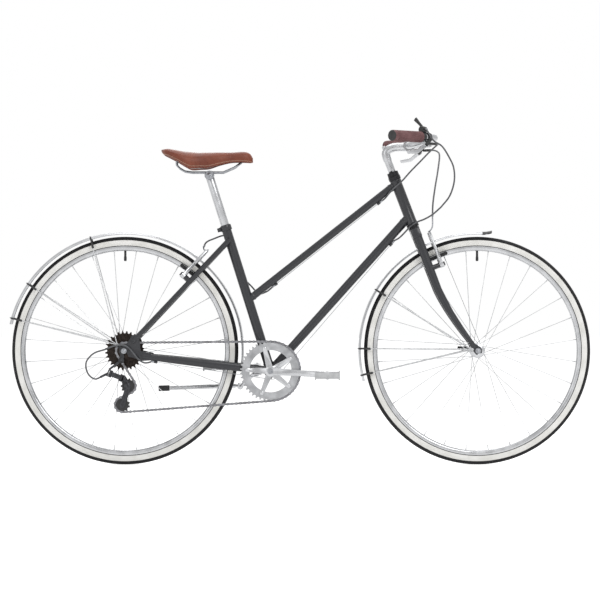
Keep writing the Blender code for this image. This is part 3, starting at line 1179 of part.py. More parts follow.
class Station:
    """A place on the straight end of the bar, with the directions of the controls there."""

    def __init__(self, side, station):
        self.out = Vector((BAR_END_OUT.x, side * BAR_END_OUT.y, 0.0))
        self.ahead = Vector((math.cos(BAR_SWEEP), side * math.sin(BAR_SWEEP), 0.0))
        self.down = self.ahead * math.cos(LEVER_TILT) - Z * math.sin(LEVER_TILT)
        self.pivot = self.down.cross(self.out)
        end = Vector((bar_end_left.x, side * bar_end_left.y, bar_end_left.z))
        self.at = end - self.out * station

    def point(self, out, down, pivot=0.0):
        return self.at + self.out * out + self.down * down + self.pivot * pivot


def clamp_ring(place):
    return sleeve(place.at, place.out, BAR_RADIUS + GAP, BAR_RADIUS + GAP + CLAMP_WALL,
                  -CLAMP_WIDTH / 2, CLAMP_WIDTH / 2, 8)


for hand, side in (("right", -1), ("left", 1)):
    end = Station(side, 0.0)
    bore = BAR_RADIUS + GAP
    grip = [(bore, GAP), (bore, -GRIP_LENGTH), (GRIP_RADIUS, -GRIP_LENGTH), (GRIP_RADIUS, -0.004),
            (GRIP_RADIUS - 0.001, GRIP_END)]
    piece("grip_" + hand, [turned(grip, end.at, end.out, 8)], RUBBER, end.at)

    place = Station(side, BRAKE_MOUNT_ALONG)
    pivot = place.point(0.022, LEVER_DROP)
    arm = mixed(place.point(0.0, 0.012), pivot, 0.5) - place.pivot * 0.005
    arm_along = pivot - place.point(0.0, 0.012)
    piece("brake_mount_" + hand,
          [clamp_ring(place),
           block(arm, (arm_along.length / 2 + 0.004, 0.0050, 0.0020), arm_along, place.pivot),
           rod(pivot - place.pivot * 0.005, pivot + place.pivot * 0.0035, LEVER_PIN, 6),
           rod(pivot + place.pivot * 0.0029, pivot + place.pivot * 0.0044, 0.005, 6),
           rod(place.point(0.004, 0.022), place.point(-0.0267, 0.022), 0.004, 8)],
          BLACK, place.at, [disc(place.at, place.out, BAR_RADIUS + GAP, 0.02, 8)])
    lever = [place.point(0.026, LEVER_DROP + 0.001), place.point(0.044, LEVER_DROP + 0.010),
             place.point(0.072, LEVER_DROP + 0.024), place.point(0.022 + LEVER_LENGTH, LEVER_DROP + 0.028)]
    piece("brake_lever_" + hand,
          [disc(pivot, place.pivot, LEVER_EYE, 0.0025, 8),
           swept(lever, [(0.005, 0.0023), (0.0055, 0.0035), (0.0055, 0.0045), (0.0045, 0.004)],
                 place.pivot, square=True)],
          SILVER, pivot, [disc(pivot, place.pivot, running_bore(LEVER_PIN, 8), 0.02, 8)])

shifter = Station(-1, SHIFTER_ALONG)
pod = shifter.at + Z * SHIFT_POST
hub_low = POD_HALF + GAP
hub_high = hub_low + SHIFT_HUB
piece("shifter_body",
      [clamp_ring(shifter), disc(pod, shifter.out, POD_RADIUS, POD_HALF, 12),
       rod(pod, pod - shifter.out * (hub_high + 0.001), 0.003, 8),
       rod(pod - shifter.out * (hub_high + GAP), pod - shifter.out * (hub_high + 0.003), 0.006, 8)],
      BLACK, shifter.at, [disc(shifter.at, shifter.out, BAR_RADIUS + GAP, 0.02, 8)])
hub_middle = pod - shifter.out * (hub_low + hub_high) / 2
thumb = (Z * 0.030 - shifter.ahead * 0.034).normalized()
piece("shift_lever",
      [disc(hub_middle, shifter.out, 0.009, SHIFT_HUB / 2, 10),
       swept([hub_middle + thumb * 0.005, hub_middle + thumb * 0.030, hub_middle + thumb * SHIFT_LEVER_LENGTH],
             [(0.0035, 0.0025), (0.0040, 0.0028), (0.0060, 0.0030)], shifter.out, square=True)],
      BLACK, hub_middle, [disc(hub_middle, shifter.out, running_bore(0.003, 8), 0.02, 8)])


# Brake arms

def brake_arm(name, axle, pivot, up, out, side, rise):
    """An arm on its stud with the pad, rise above the stud, that faces the side of the rim."""
    top = pivot + up * ARM_LENGTH + Y * side * (ARM_TOP_SPREAD - abs(pivot.y))
    flat = Vector((pivot.x, 0.0, pivot.z)) + up * rise
    away = (flat - axle).normalized()
    pad = flat + Y * side * (RIM_HALF + PAD_CLEARANCE + PAD_DEPTH / 2)
    post = flat + Y * side * abs(mixed(pivot, top, rise / ARM_LENGTH).y)
    piece(name,
          [disc(pivot, out, 0.0090, ARM_HALF_THICKNESS, 8),
           swept([pivot, mixed(pivot, top, 0.5), top],
                 [(ARM_HALF_WIDTH, 0.0055), (ARM_HALF_WIDTH, 0.0050), (0.0048, 0.0042)], out, square=True),
           block(pad, (PAD_HALF_LENGTH, PAD_DEPTH / 2, PAD_HALF_HEIGHT), away.cross(Y), away),
           rod(pad + Y * side * (PAD_DEPTH / 2 - 0.001), post, 0.0035, 6)],
          SILVER, pivot, [disc(pivot, out, running_bore(STUD_RADIUS, 8), 0.02, 8)])


for hand, side in (("right", -1), ("left", 1)):
    brake_arm("brake_arm_rear_" + hand, REAR_AXLE, seat_stay(BOSS_HEIGHT, REAR_ARM_OFFSET, side),
              STAY_UP, STAY_BACK, side, math.sqrt(PAD_RADIUS ** 2 - REAR_ARM_OFFSET ** 2) - BOSS_HEIGHT)
    ahead = FRONT_ARM_OFFSET - FORK_RAKE
    brake_arm("brake_arm_front_" + hand, FRONT_AXLE, blade(FRONT_BOSS_HEIGHT, FRONT_ARM_OFFSET, side),
              STEER_UP, STEER_OUT, side, math.sqrt(PAD_RADIUS ** 2 - ahead ** 2) - FRONT_BOSS_HEIGHT)


# Seat post, saddle clamp, rails, base and cover

post_low = POST_TOP - POST_LENGTH
post = [(POST_BORE, POST_TOP - 0.030), (POST_BORE, post_low), (POST_RADIUS, post_low), (POST_RADIUS, POST_TOP)]
CLAMP_BOLT = seat(CLAMP_ON_POST)
piece("seatpost", [turned(post, seat(0.0), SEAT_UP, 10)], SILVER, seat(SEAT_TUBE_LENGTH),
      [disc(CLAMP_BOLT, Y, running_bore(CLAMP_BOLT_RADIUS, 10), 0.03, 10)])
RAIL_Z = CLAMP_BOLT.z + RAIL_ABOVE_BOLT
cheeks = [disc(CLAMP_BOLT, Y, CLAMP_BOLT_RADIUS, CHEEK_OUTER + 0.004, 10)]
rail_holes = []
for side in (-1, 1):
    cheeks.append(rod(CLAMP_BOLT + Y * side * (POST_RADIUS + 0.0005), CLAMP_BOLT + Y * side * CHEEK_OUTER,
                      CHEEK_RADIUS, 10))
    hole = Vector((CLAMP_BOLT.x, side * RAIL_SPREAD, RAIL_Z))
    rail_holes.append(rod(hole - X * 0.03, hole + X * 0.03, RAIL_RADIUS + 0.0006, 6))
piece("saddle_clamp", cheeks, BLACK, CLAMP_BOLT, rail_holes)

# Each station of the saddle: distance from its rear end, height of its top, height of its lower
# edge, half width and depth of the hollow beneath it.
saddle_top = CLAMP_BOLT.z + SADDLE_ABOVE_CLAMP
SADDLE = ((0.0000, 0.0020, 0.0080, 0.040, 0.0003), (0.0060, 0.0002, 0.0160, 0.060, 0.0020),
          (0.0200, -0.0015, 0.0230, 0.078, 0.0078), (0.0450, 0.0025, 0.0360, 0.088, 0.0078),
          (0.0680, 0.0065, 0.0500, 0.088, 0.0078), (0.0880, 0.0085, 0.0595, 0.083, 0.0078),
          (0.1150, 0.0100, 0.0590, 0.072, 0.0078), (0.1420, 0.0095, 0.0575, 0.057, 0.0078),
          (0.1750, 0.0090, 0.0475, 0.038, 0.0078), (0.2100, 0.0090, 0.0400, 0.030, 0.0078),
          (0.2480, 0.0072, 0.0395, 0.026, 0.0078),
          (0.2650, 0.0130, 0.0405, 0.020, 0.0020), (0.2740, 0.0260, 0.0400, 0.012, 0.0003))
cover = []
base = []
for along, top_drop, low_drop, wide, hollow in SADDLE:
    x = REAR_AXLE.x + SADDLE_REAR + along
    high = saddle_top - top_drop
    low = saddle_top - low_drop
    tall = high - low
    outline = [(-0.93 * wide, low), (-wide, low + 0.38 * tall), (-0.88 * wide, low + 0.78 * tall),
               (-0.48 * wide, high - 0.05 * tall), (0.0, high), (0.48 * wide, high - 0.05 * tall),
               (0.88 * wide, low + 0.78 * tall), (wide, low + 0.38 * tall), (0.93 * wide, low),
               (0.84 * wide, low), (0.78 * wide, low + hollow), (-0.78 * wide, low + hollow), (-0.84 * wide, low)]
    cover.append([Vector((x, side_place, z)) for side_place, z in outline])
    if hollow > 0.005:
        under = low + hollow - GAP - BASE_THICKNESS
        base.append([Vector((x, side_place, z)) for side_place, z in
                     ((-0.74 * wide, under), (0.74 * wide, under),
                      (0.74 * wide, under + BASE_THICKNESS), (-0.74 * wide, under + BASE_THICKNESS))])
piece("saddle_cover", [loft(cover)], LEATHER, CLAMP_BOLT)
piece("saddle_base", [loft(base)], BLACK, CLAMP_BOLT)


def under_base(along):
    """The height of the underside of the base at this distance from the saddle's rear end."""
    for near, far in zip(SADDLE, SADDLE[1:]):
        if near[0] <= along <= far[0]:
            drop = mixed(near[2], far[2], (along - near[0]) / (far[0] - near[0]))
            return saddle_top - drop + near[4] - GAP - BASE_THICKNESS
    return saddle_top


rail_seat = RAIL_RADIUS + GAP
rail_top = under_base(0.0480)
half_rail = [(0.0478, RAIL_SPREAD, rail_top - 0.0004), (0.0449, RAIL_SPREAD, rail_top - 0.0056),
             (0.0452, RAIL_SPREAD, rail_top - 0.0130), (0.0540, RAIL_SPREAD, RAIL_Z + 0.0125),
             (0.0700, RAIL_SPREAD, RAIL_Z + 0.0030),
             (0.0920, RAIL_SPREAD, RAIL_Z), (0.1850, RAIL_SPREAD, RAIL_Z),
             (0.2200, RAIL_SPREAD * 0.62, under_base(0.22) - 0.0180),
             (0.2390, RAIL_SPREAD * 0.30, under_base(0.239) - rail_seat)]
rail = [Vector((REAR_AXLE.x + SADDLE_REAR + along, side, z)) for along, side, z in half_rail]
rail += [Vector((p.x, -p.y, p.z)) for p in reversed(rail)]
piece("saddle_rails", [swept(rail, (RAIL_RADIUS, RAIL_RADIUS), X + Z, sides=6)], SATIN, CLAMP_BOLT)


# Kickstand: a bracket clamped on the chain stays and a leg that folds back along the left stay

stay_back = chain_stay(STAND_SHARES[0])
stay_front = chain_stay(STAND_SHARES[1])
plate_top = stay_front.z - STAY_HALF_AT_STAND - GAP
plate_middle = Vector(((stay_back.x + stay_front.x) / 2, 0.0, plate_top - STAND_PLATE / 2))
cap_low = chain_stay(STAND_SHARES[0] + 0.016).z + STAY_HALF_AT_STAND + 2 * GAP
cap_middle = Vector((plate_middle.x + 0.002, 0.0, cap_low + 0.0015))
plate_half = (stay_front.x - stay_back.x) / 2
STAND_PIVOT = rear(STAND_X, STAND_Z, STAND_Y)
STAND_BACK = Vector((-math.cos(STAND_FOLD_SLOPE), 0.0, -math.sin(STAND_FOLD_SLOPE)))
STAND_AXIS = STAND_BACK.cross(Vector((0.0, math.sin(STAND_SPLAY), -math.cos(STAND_SPLAY)))).normalized()
STAND_SIDE = -STAND_AXIS
lug = STAND_PIVOT - STAND_SIDE * (0.005 + GAP + 0.003)
piece("kickstand_bracket",
      [block(plate_middle, (plate_half, 0.036, STAND_PLATE / 2)),
       block(cap_middle, (plate_half - 0.004, 0.031, 0.0015)),
       rod(Vector((plate_middle.x, 0.0, plate_middle.z - 0.006)), cap_middle + Z * 0.004, 0.004, 8),
       rod(Vector((plate_middle.x, 0.0, plate_middle.z - 0.007)), plate_middle, 0.0075, 6),
       rod(Vector((plate_middle.x - 0.006, 0.028, plate_middle.z)),
           Vector((plate_middle.x - 0.022, 0.036, plate_middle.z - 0.012)), 0.006, 6),
       rod(Vector((plate_middle.x - 0.020, 0.035, plate_middle.z - 0.010)), lug - STAND_SIDE * 0.004, 0.005, 6),
       disc(lug, STAND_SIDE, STAND_EYE, 0.003, 8),
       rod(lug, STAND_PIVOT + STAND_SIDE * 0.006, STAND_PIN, 8),
       rod(STAND_PIVOT + STAND_SIDE * (0.005 + GAP), STAND_PIVOT + STAND_SIDE * 0.008, 0.0065, 8)],
      BLACK)
foot = STAND_PIVOT + STAND_BACK * STAND_LENGTH
piece("kickstand_leg",
      [disc(STAND_PIVOT, STAND_SIDE, STAND_EYE, 0.005, 8),
       rod(STAND_PIVOT + STAND_BACK * 0.0055, STAND_PIVOT + STAND_BACK * 0.018, 0.0047, 8),
       rod(STAND_PIVOT + STAND_BACK * 0.0145, foot, STAND_RADIUS, 8),
       rod(foot - STAND_BACK * 0.028, foot + STAND_BACK * 0.004, STAND_RADIUS + 0.002, 8)],
      SILVER, STAND_PIVOT, [disc(STAND_PIVOT, STAND_SIDE, running_bore(STAND_PIN, 8), 0.02, 8)])


# Cables: housings with the bare wire between the frame's stops

def on_stays(along, back, side):
    return REAR_AXLE + STAY_UP * along + STAY_BACK * back + Y * side


def on_top_tube(along, down, side):
    return TOP_TUBE_LOW + TOP_TUBE_DIR * along + TOP_TUBE_DOWN * down + Y * side


stop_half = CABLE_STOP_LENGTH / 2 + GAP
over_arm = NOODLE_RADIUS + 0.0005
left_barrel = [Station(1, BRAKE_MOUNT_ALONG).point(-along, 0.022) for along in (0.027, 0.034)]
right_barrel = [Station(-1, BRAKE_MOUNT_ALONG).point(-along, 0.022) for along in (0.027, 0.034)]

front_top = FRONT_BOSS_HEIGHT + ARM_LENGTH + over_arm
front_housing = [left_barrel[0]] + smooth_path(
    [left_barrel[1], steer(0.6070, 0.1585, 0.148), steer(0.5914, 0.1573, 0.110), steer(0.5519, 0.1347, 0.060),
     steer(0.5045, 0.1047, 0.010), steer(0.4607, 0.0793, -0.025), steer(0.425, 0.0635, -0.038)], 2)
front_noodle = smooth_path(
    [front_housing[-1], steer(0.4026, 0.0549, -0.046), steer(0.3925, 0.0480, -0.050),
     steer(front_top, 0.0400, -0.0470), steer(front_top, FRONT_ARM_OFFSET, -0.039),
     steer(front_top, FRONT_ARM_OFFSET, -0.024)], 1)
cable("cable_brake_front", [(front_housing, HOUSING_RADIUS), (front_noodle, NOODLE_RADIUS),
                            ([front_noodle[-1], steer(front_top, FRONT_ARM_OFFSET, 0.034)], WIRE_RADIUS)],
      CABLE_GREY)

rear_top = BOSS_HEIGHT + ARM_LENGTH + over_arm
upper_stop = top_stop(TOP_STOPS[1]) + TOP_TUBE_DIR * stop_half
lower_stop = top_stop(TOP_STOPS[0]) - TOP_TUBE_DIR * stop_half
rear_first = [right_barrel[0]] + smooth_path(
    [right_barrel[1], steer(0.6067, 0.1203, -0.135), steer(0.5924, 0.0892, -0.085), steer(0.5747, 0.0502, -0.043),
     steer(0.5598, 0.022, -0.0245), steer(0.5404, -0.0251, -0.0185), upper_stop + TOP_TUBE_DIR * 0.020 - Y * 0.003,
     upper_stop + TOP_TUBE_DIR * 0.006], 1) + [upper_stop]
rear_second = [lower_stop] + smooth_path(
    [lower_stop - TOP_TUBE_DIR * 0.006, on_top_tube(0.070, 0.0148, 0.004), on_top_tube(0.056, 0.0135, 0.0105),
     on_top_tube(0.036, 0.004, 0.0180), seat(0.262, -0.020, 0.0215), seat(0.300, -0.002, 0.0225),
     seat(0.352, 0.004, 0.0235), seat(0.400, 0.006, 0.0275), seat(0.4306, 0.0097, 0.0290),
     seat(0.4318, 0.047, 0.031), seat(0.4286, 0.070, 0.038), on_stays(0.3876, 0.0433, 0.047)], 1)
rear_noodle = smooth_path(
    [rear_second[-1], on_stays(0.3835, 0.0365, 0.0500), on_stays(rear_top - 0.0025, 0.0290, 0.0470),
     on_stays(rear_top, REAR_ARM_OFFSET, 0.039), on_stays(rear_top, REAR_ARM_OFFSET, 0.024)], 1)
cable("cable_brake_rear", [(rear_first, HOUSING_RADIUS), ([upper_stop, lower_stop], WIRE_RADIUS),
                           (rear_second, HOUSING_RADIUS), (rear_noodle, NOODLE_RADIUS),
                           ([rear_noodle[-1], on_stays(rear_top, REAR_ARM_OFFSET, -0.034)], WIRE_RADIUS)],
      CABLE_GREY)

pod_front = pod + shifter.ahead * (POD_RADIUS + GAP)
down_stop = DOWN_STOP_AT + DOWN_TUBE_DIR * stop_half
stay_stop = STAY_STOP_AT - STAY_STOP_DIR * stop_half
shift_first = [pod_front] + smooth_path(
    [pod_front + shifter.ahead * 0.006, steer(0.6316, 0.1363, -0.226), steer(0.606, 0.1555, -0.205), steer(0.5692, 0.1649, -0.180),
     steer(0.5358, 0.1681, -0.150), steer(0.4983, 0.157, -0.120), steer(0.4634, 0.1307, -0.092),
     steer(0.4416, 0.0955, -0.070), steer(0.4306, 0.0656, -0.052), steer(0.4262, 0.0378, -0.038),
     steer(0.4262, 0.0150, -0.0275), steer(0.4200, -0.0100, -0.0250), steer(0.4090, -0.0330, -0.0150),
     steer(0.4010, -0.0520, -0.006), down_stop + DOWN_TUBE_DIR * 0.010], 1) + [down_stop]
under_shell = [BOTTOM_BRACKET + DOWN_TUBE_DOWN * 0.0260 - Y * 0.009,
               BOTTOM_BRACKET + (DOWN_TUBE_DOWN - Z).normalized() * 0.0268 - Y * 0.010, WIRE_UNDER_SHELL]
barrel_out = (BARREL_END - rear(-0.046, -0.066, BARREL_END.y)).normalized()
shift_second = [stay_stop] + smooth_path(
    [stay_stop - STAY_STOP_DIR * 0.006, rear(0.073, -0.0348, -0.0710), rear(0.060, -0.0348, -0.0755),
     rear(0.045, -0.026, -0.0790), rear(0.030, -0.008, -0.081),
     rear(0.014, 0.010, -0.083), rear(-0.004, 0.018, -0.0845), rear(-0.030, 0.015, -0.086),
     rear(-0.055, 0.005, -0.087), rear(-0.088, -0.006, -0.087), rear(-0.1095, -0.028, -0.0865),
     rear(-0.1125, -0.049, -0.086), rear(-0.106, -0.068, -0.0855), rear(-0.096, -0.0785, -0.085),
     rear(-0.085, -0.0835, -0.084), BARREL_END + barrel_out * 0.008], 1)
shift_second.append(BARREL_END + barrel_out * GAP)
cable("cable_shift", [(shift_first, HOUSING_RADIUS), ([down_stop, *under_shell, stay_stop], WIRE_RADIUS),
                      (shift_second, HOUSING_RADIUS)], CABLE_GREY)
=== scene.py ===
"""The commuter bicycle of the photograph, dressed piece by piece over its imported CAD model."""
import json
import math

import bmesh
import bpy
import numpy as np
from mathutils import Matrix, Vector

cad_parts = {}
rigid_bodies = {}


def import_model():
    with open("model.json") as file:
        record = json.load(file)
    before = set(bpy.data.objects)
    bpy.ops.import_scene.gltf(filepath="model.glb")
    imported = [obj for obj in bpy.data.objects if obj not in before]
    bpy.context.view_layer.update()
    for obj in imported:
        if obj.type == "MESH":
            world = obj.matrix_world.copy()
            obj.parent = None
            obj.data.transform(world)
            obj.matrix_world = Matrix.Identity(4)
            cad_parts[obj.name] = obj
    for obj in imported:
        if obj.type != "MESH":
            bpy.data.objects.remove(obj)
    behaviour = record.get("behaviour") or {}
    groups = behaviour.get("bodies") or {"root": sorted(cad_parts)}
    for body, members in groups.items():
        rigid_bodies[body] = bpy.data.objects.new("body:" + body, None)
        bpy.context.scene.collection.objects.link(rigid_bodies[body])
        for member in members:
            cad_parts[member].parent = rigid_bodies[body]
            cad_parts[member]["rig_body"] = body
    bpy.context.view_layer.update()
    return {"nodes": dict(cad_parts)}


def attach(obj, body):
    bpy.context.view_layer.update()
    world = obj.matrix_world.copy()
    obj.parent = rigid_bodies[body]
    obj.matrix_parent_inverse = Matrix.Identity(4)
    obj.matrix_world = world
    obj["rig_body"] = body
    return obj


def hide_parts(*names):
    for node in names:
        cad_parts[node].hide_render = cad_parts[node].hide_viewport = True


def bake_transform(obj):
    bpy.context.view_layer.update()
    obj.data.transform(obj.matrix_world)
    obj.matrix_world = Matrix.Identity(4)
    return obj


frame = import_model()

X, Y, Z = np.eye(3)


# ---- Camera, floor and light
# The photograph is a level view of the right-hand side through a long lens, on plain white.
# The camera takes in 1.808 m across the wheels' middle plane; four soft lamps stand around.

def node(tree, kind, inputs=None, **settings):
    """Adds a shader node, sets its properties and fills its sockets with values or links."""
    made = tree.nodes.new("ShaderNode" + kind)
    for name, value in settings.items():
        setattr(made, name, value)
    for name, value in (inputs or {}).items():
        if isinstance(value, bpy.types.NodeSocket):
            tree.links.new(value, made.inputs[name])
        else:
            made.inputs[name].default_value = value
    return made


def linear(colour):
    """An sRGB colour such as "8a5248" as linear red, green, blue and alpha."""
    parts = [int(colour[k:k + 2], 16) / 255 for k in (0, 2, 4)]
    return tuple(p / 12.92 if p <= 0.04045 else ((p + 0.055) / 1.055) ** 2.4 for p in parts) + (1.0,)


def finish(name, colour, roughness, metallic=0.0, **sockets):
    """A new material of one colour; its pattern nodes are added by the section that needs them."""
    made = bpy.data.materials.new(name)
    made.use_nodes = True
    shader = made.node_tree.nodes["Principled BSDF"]
    shader.inputs["Base Color"].default_value = linear(colour)
    shader.inputs["Roughness"].default_value = roughness
    shader.inputs["Metallic"].default_value = metallic
    for socket, value in sockets.items():
        shader.inputs[socket.replace("_", " ")].default_value = value
    return made


def pattern(made, size_mm, detail=3.0, stretch=(1.0, 1.0, 1.0)):
    """Noise with blotches about size_mm wide, in metres of the object's own space."""
    tree = made.node_tree
    place = node(tree, "TexCoord").outputs["Object"]
    mapped = node(tree, "Mapping", {"Vector": place, "Scale": stretch}).outputs["Vector"]
    noise = node(tree, "TexNoise", {"Vector": mapped, "Scale": 1000.0 / size_mm, "Detail": detail})
    return noise.outputs["Fac"]


def factor(made, source):
    """A socket as it is, or the pattern that a size in mm or a (size, detail, stretch) asks for."""
    if isinstance(source, bpy.types.NodeSocket):
        return source
    return pattern(made, *source) if isinstance(source, tuple) else pattern(made, source)


def feed(made, output, socket):
    """Links a node's output to a socket of the material's shader."""
    made.node_tree.links.new(output, made.node_tree.nodes["Principled BSDF"].inputs[socket])


def tint(made, source, dark, light, ends=(0.3, 0.7)):
    """Colours the material between two tones, which it reaches where the factor is at the ends."""
    ramp = node(made.node_tree, "ValToRGB", {"Fac": factor(made, source)})
    for element, position, colour in zip(ramp.color_ramp.elements, ends, (dark, light)):
        element.position = position
        element.color = linear(colour)
    feed(made, ramp.outputs["Color"], "Base Color")


def gloss(made, source, low, high):
    """Lets the roughness follow a factor between two values."""
    span = node(made.node_tree, "MapRange", {"Value": factor(made, source), "From Min": 0.3,
                                             "From Max": 0.7, "To Min": low, "To Max": high})
    feed(made, span.outputs["Result"], "Roughness")


def relief(made, source, depth_mm, strength):
    """Raises the surface by a height pattern of this depth."""
    bump = node(made.node_tree, "Bump", {"Height": factor(made, source), "Distance": depth_mm / 1000.0,
                                         "Strength": strength})
    feed(made, bump.outputs["Normal"], "Normal")


def seen_directly(tree):
    """One for rays from the camera, from a reflection or through glass, and nought for other light."""
    rays = node(tree, "LightPath")
    seen = rays.outputs["Is Camera Ray"]
    for kind in ("Is Glossy Ray", "Is Transmission Ray"):
        seen = node(tree, "Math", {0: seen, 1: rays.outputs[kind]}, operation="MAXIMUM").outputs[0]
    return seen


def add(name, data):
    """A new object in the scene."""
    made = bpy.data.objects.new(name, data)
    bpy.context.scene.collection.objects.link(made)
    return made


VIEW_WIDTH = 1.8084
VIEW_CENTRE = (0.0003, 0.4955)
CAMERA_AWAY = 9.0
SENSOR_MM = 36.0
FLOOR_HALF = 30.0
FLOOR_GLOW = 0.55
AMBIENT = 0.6
WHITE = (1.0, 1.0, 1.0, 1.0)
# Each lamp's name, place, width and watts; all look at one point of the bike
LAMPS = (("key", (2.2, -3.6, 3.4), 2.2, 75.0), ("fill", (-3.2, -3.2, 2.0), 2.6, 24.0),
         ("top", (0.0, 0.6, 4.2), 2.6, 50.0), ("back", (0.0, 4.0, 2.4), 2.6, 30.0))
LAMP_AIM = Vector((0.0, 0.0, 0.45))

camera_data = bpy.data.cameras.new("camera")
camera_data.sensor_width = SENSOR_MM
camera_data.lens = SENSOR_MM * CAMERA_AWAY / VIEW_WIDTH
camera_data.clip_end = 100.0
camera = add("camera", camera_data)
camera.location = (VIEW_CENTRE[0], -CAMERA_AWAY, VIEW_CENTRE[1])
camera.rotation_euler = (math.radians(90.0), 0.0, 0.0)
bpy.context.scene.camera = camera

floor_mesh = bpy.data.meshes.new("floor")
floor_mesh.from_pydata([(x * FLOOR_HALF, y * FLOOR_HALF, 0.0) for x, y in ((-1, -1), (1, -1), (1, 1), (-1, 1))],
                       [], [(0, 1, 2, 3)])
floor = add("floor", floor_mesh)
# Matt white studio paper; seen by the camera or in a reflection it glows enough to be white, but for shadows
paper = finish("studio_paper", "f4f4f4", 0.9, Emission_Color=WHITE)
tint(paper, 900.0, "f2f2f2", "f6f6f6")
glow = node(paper.node_tree, "Math", {0: seen_directly(paper.node_tree), 1: FLOOR_GLOW}, operation="MULTIPLY")
feed(paper, glow.outputs[0], "Emission Strength")
floor_mesh.materials.append(paper)

for name, place, size, power in LAMPS:
    lamp_data = bpy.data.lights.new(name, "AREA")
    lamp_data.size = size
    lamp_data.energy = power
    lamp = add(name, lamp_data)
    lamp.location = place
    lamp.rotation_euler = (LAMP_AIM - Vector(place)).to_track_quat("-Z", "Y").to_euler()

world = bpy.data.worlds.new("studio")
world.use_nodes = True
bpy.context.scene.world = world
sky = world.node_tree
sky.nodes.clear()
white_seen = seen_directly(sky)
ambient = node(sky, "Background", {"Color": WHITE, "Strength": AMBIENT})
white = node(sky, "Background", {"Color": WHITE, "Strength": 1.0})
both = node(sky, "MixShader", {0: white_seen, 1: ambient.outputs[0], 2: white.outputs[0]})
sky.links.new(both.outputs[0], node(sky, "OutputWorld").inputs["Surface"])
bpy.context.scene.view_settings.view_transform = "Standard"


# ---- Places on the bicycle
# The same points and directions as the CAD model's, in metres.

REAR_AXLE = np.array((-0.526148, 0.0, 0.343))
FRONT_AXLE = np.array((0.533852, 0.0, 0.343))
BOTTOM_BRACKET = np.array((-0.088148, 0.0, 0.282))
STEER_UP = np.array((-0.358368, 0.0, 0.93358))
STEER_OUT = np.array((0.93358, 0.0, 0.358368))
FORK_RAKE = 0.046
STEER_FOOT = FRONT_AXLE - STEER_OUT * FORK_RAKE
SEAT_UP = np.array((-0.299041, 0.0, 0.95424))
SEAT_BACK = np.array((-0.95424, 0.0, -0.299041))
STAY_UP = np.array((0.685124, 0.0, 0.728426))
STAY_BACK = np.array((-0.728426, 0.0, 0.685124))


def steer(height, out=0.0, side=0.0):
    """A point by its height on the steering axis, its distance in front of it and its side."""
    return STEER_FOOT + STEER_UP * height + STEER_OUT * out + Y * side


def seat(height, back=0.0, side=0.0):
    """A point by its height on the seat tube, its distance behind it and its side."""
    return BOTTOM_BRACKET + SEAT_UP * height + SEAT_BACK * back + Y * side


def rear(x, z, side=0.0):
    """A point by its distance from the rear axle."""
    return REAR_AXLE + np.array((x, side, z))


def on_stays(along, back, side=0.0):
    """A point by its distance from the rear axle along the seat stays, behind them and to the side."""
    return REAR_AXLE + STAY_UP * along + STAY_BACK * back + Y * side


def mm(*rows):
    """Millimetres, one by one or in rows, as an array of metres."""
    return np.array(rows) / 1000


def route(place, *rows):
    """The points that a function such as steer gives for these rows of millimetres."""
    return [place(*mm(*row)) for row in rows]


def mixed(a, b, share):
    """The point or number this share of the way from a to b."""
    return a + (b - a) * share


def unit(vector):
    """The vector made one long."""
    vector = np.asarray(vector, float)
    return vector / np.linalg.norm(vector)


def radial(angle):
    """The direction in the wheels' plane turned from forwards towards up."""
    return X * math.cos(angle) + Z * math.sin(angle)


def below(way):
    """The direction square to a way in the bike's plane, on its lower side."""
    return np.array((way[2], 0.0, -way[0]))


# ---- Surfaces
# Every form is a grid of points: rings one after another, each with as many points around.

def travelled(points):
    """How far each point, and then the first one again, lies along the closed line through them."""
    steps = np.linalg.norm(np.roll(points, -1, 0) - points, axis=1)
    return np.concatenate([[0.0], steps.cumsum()])


def circle(sides):
    """The angles 2 pi k / sides of a polygon's corners."""
    return 2 * np.pi * np.arange(sides) / sides


def skin(rings, along=False, caps=True, number=0, uv=None):
    """Points, faces, uv and material number of a grid. Face (i, j) has corners (i, j), (i, j+1),
    (i+1, j+1) and (i+1, j). The uv is metres along and metres around, or the given arrays."""
    rings = np.asarray(rings, float)
    n, m = rings.shape[:2]
    i = np.arange(n if along else n - 1)[:, None] + np.zeros((1, m), int)
    j = np.arange(m)[None, :] + np.zeros_like(i)
    corners = [(i, j), (i, j + 1), (i + 1, j + 1), (i + 1, j)]
    quads = np.stack([(a % n) * m + b % m for a, b in corners], -1).reshape(-1, 4)
    u, v = uv or (travelled(rings.mean(1)), travelled(rings[n // 2]))
    spread = np.stack([np.stack([u[a], v[b]], -1) for a, b in corners], -2).reshape(-1, 2)
    faces = quads.tolist()
    numbers = np.full(len(faces), number)
    if caps and not along:
        faces += [list(range(m))[::-1], list(range((n - 1) * m, n * m))]
        numbers = np.concatenate([numbers, [number, number]])
        spread = np.concatenate([spread, np.zeros((2 * m, 2))])
    return rings.reshape(-1, 3), faces, spread, numbers


def curve(points, per):
    """A Catmull-Rom curve through the points, with this many steps between each two. Between b and c,
    with a before and d after, the point at t is (2b + (c-a)t + (2a-5b+4c-d)t² + (3b-a-3c+d)t³) / 2."""
    p = np.asarray(points, float)
    q = np.concatenate([[2 * p[0] - p[1]], p, [2 * p[-1] - p[-2]]])
    a, b, c, d = (part[:, None] for part in (q[:-3], q[1:-2], q[2:-1], q[3:]))
    t = (np.arange(per) / per)[:, None]
    out = (2 * b + (c - a) * t + (2 * a - 5 * b + 4 * c - d) * t ** 2 + (3 * b - a - 3 * c + d) * t ** 3) / 2
    return np.concatenate([out.reshape(-1, p.shape[1]), p[-1:]])


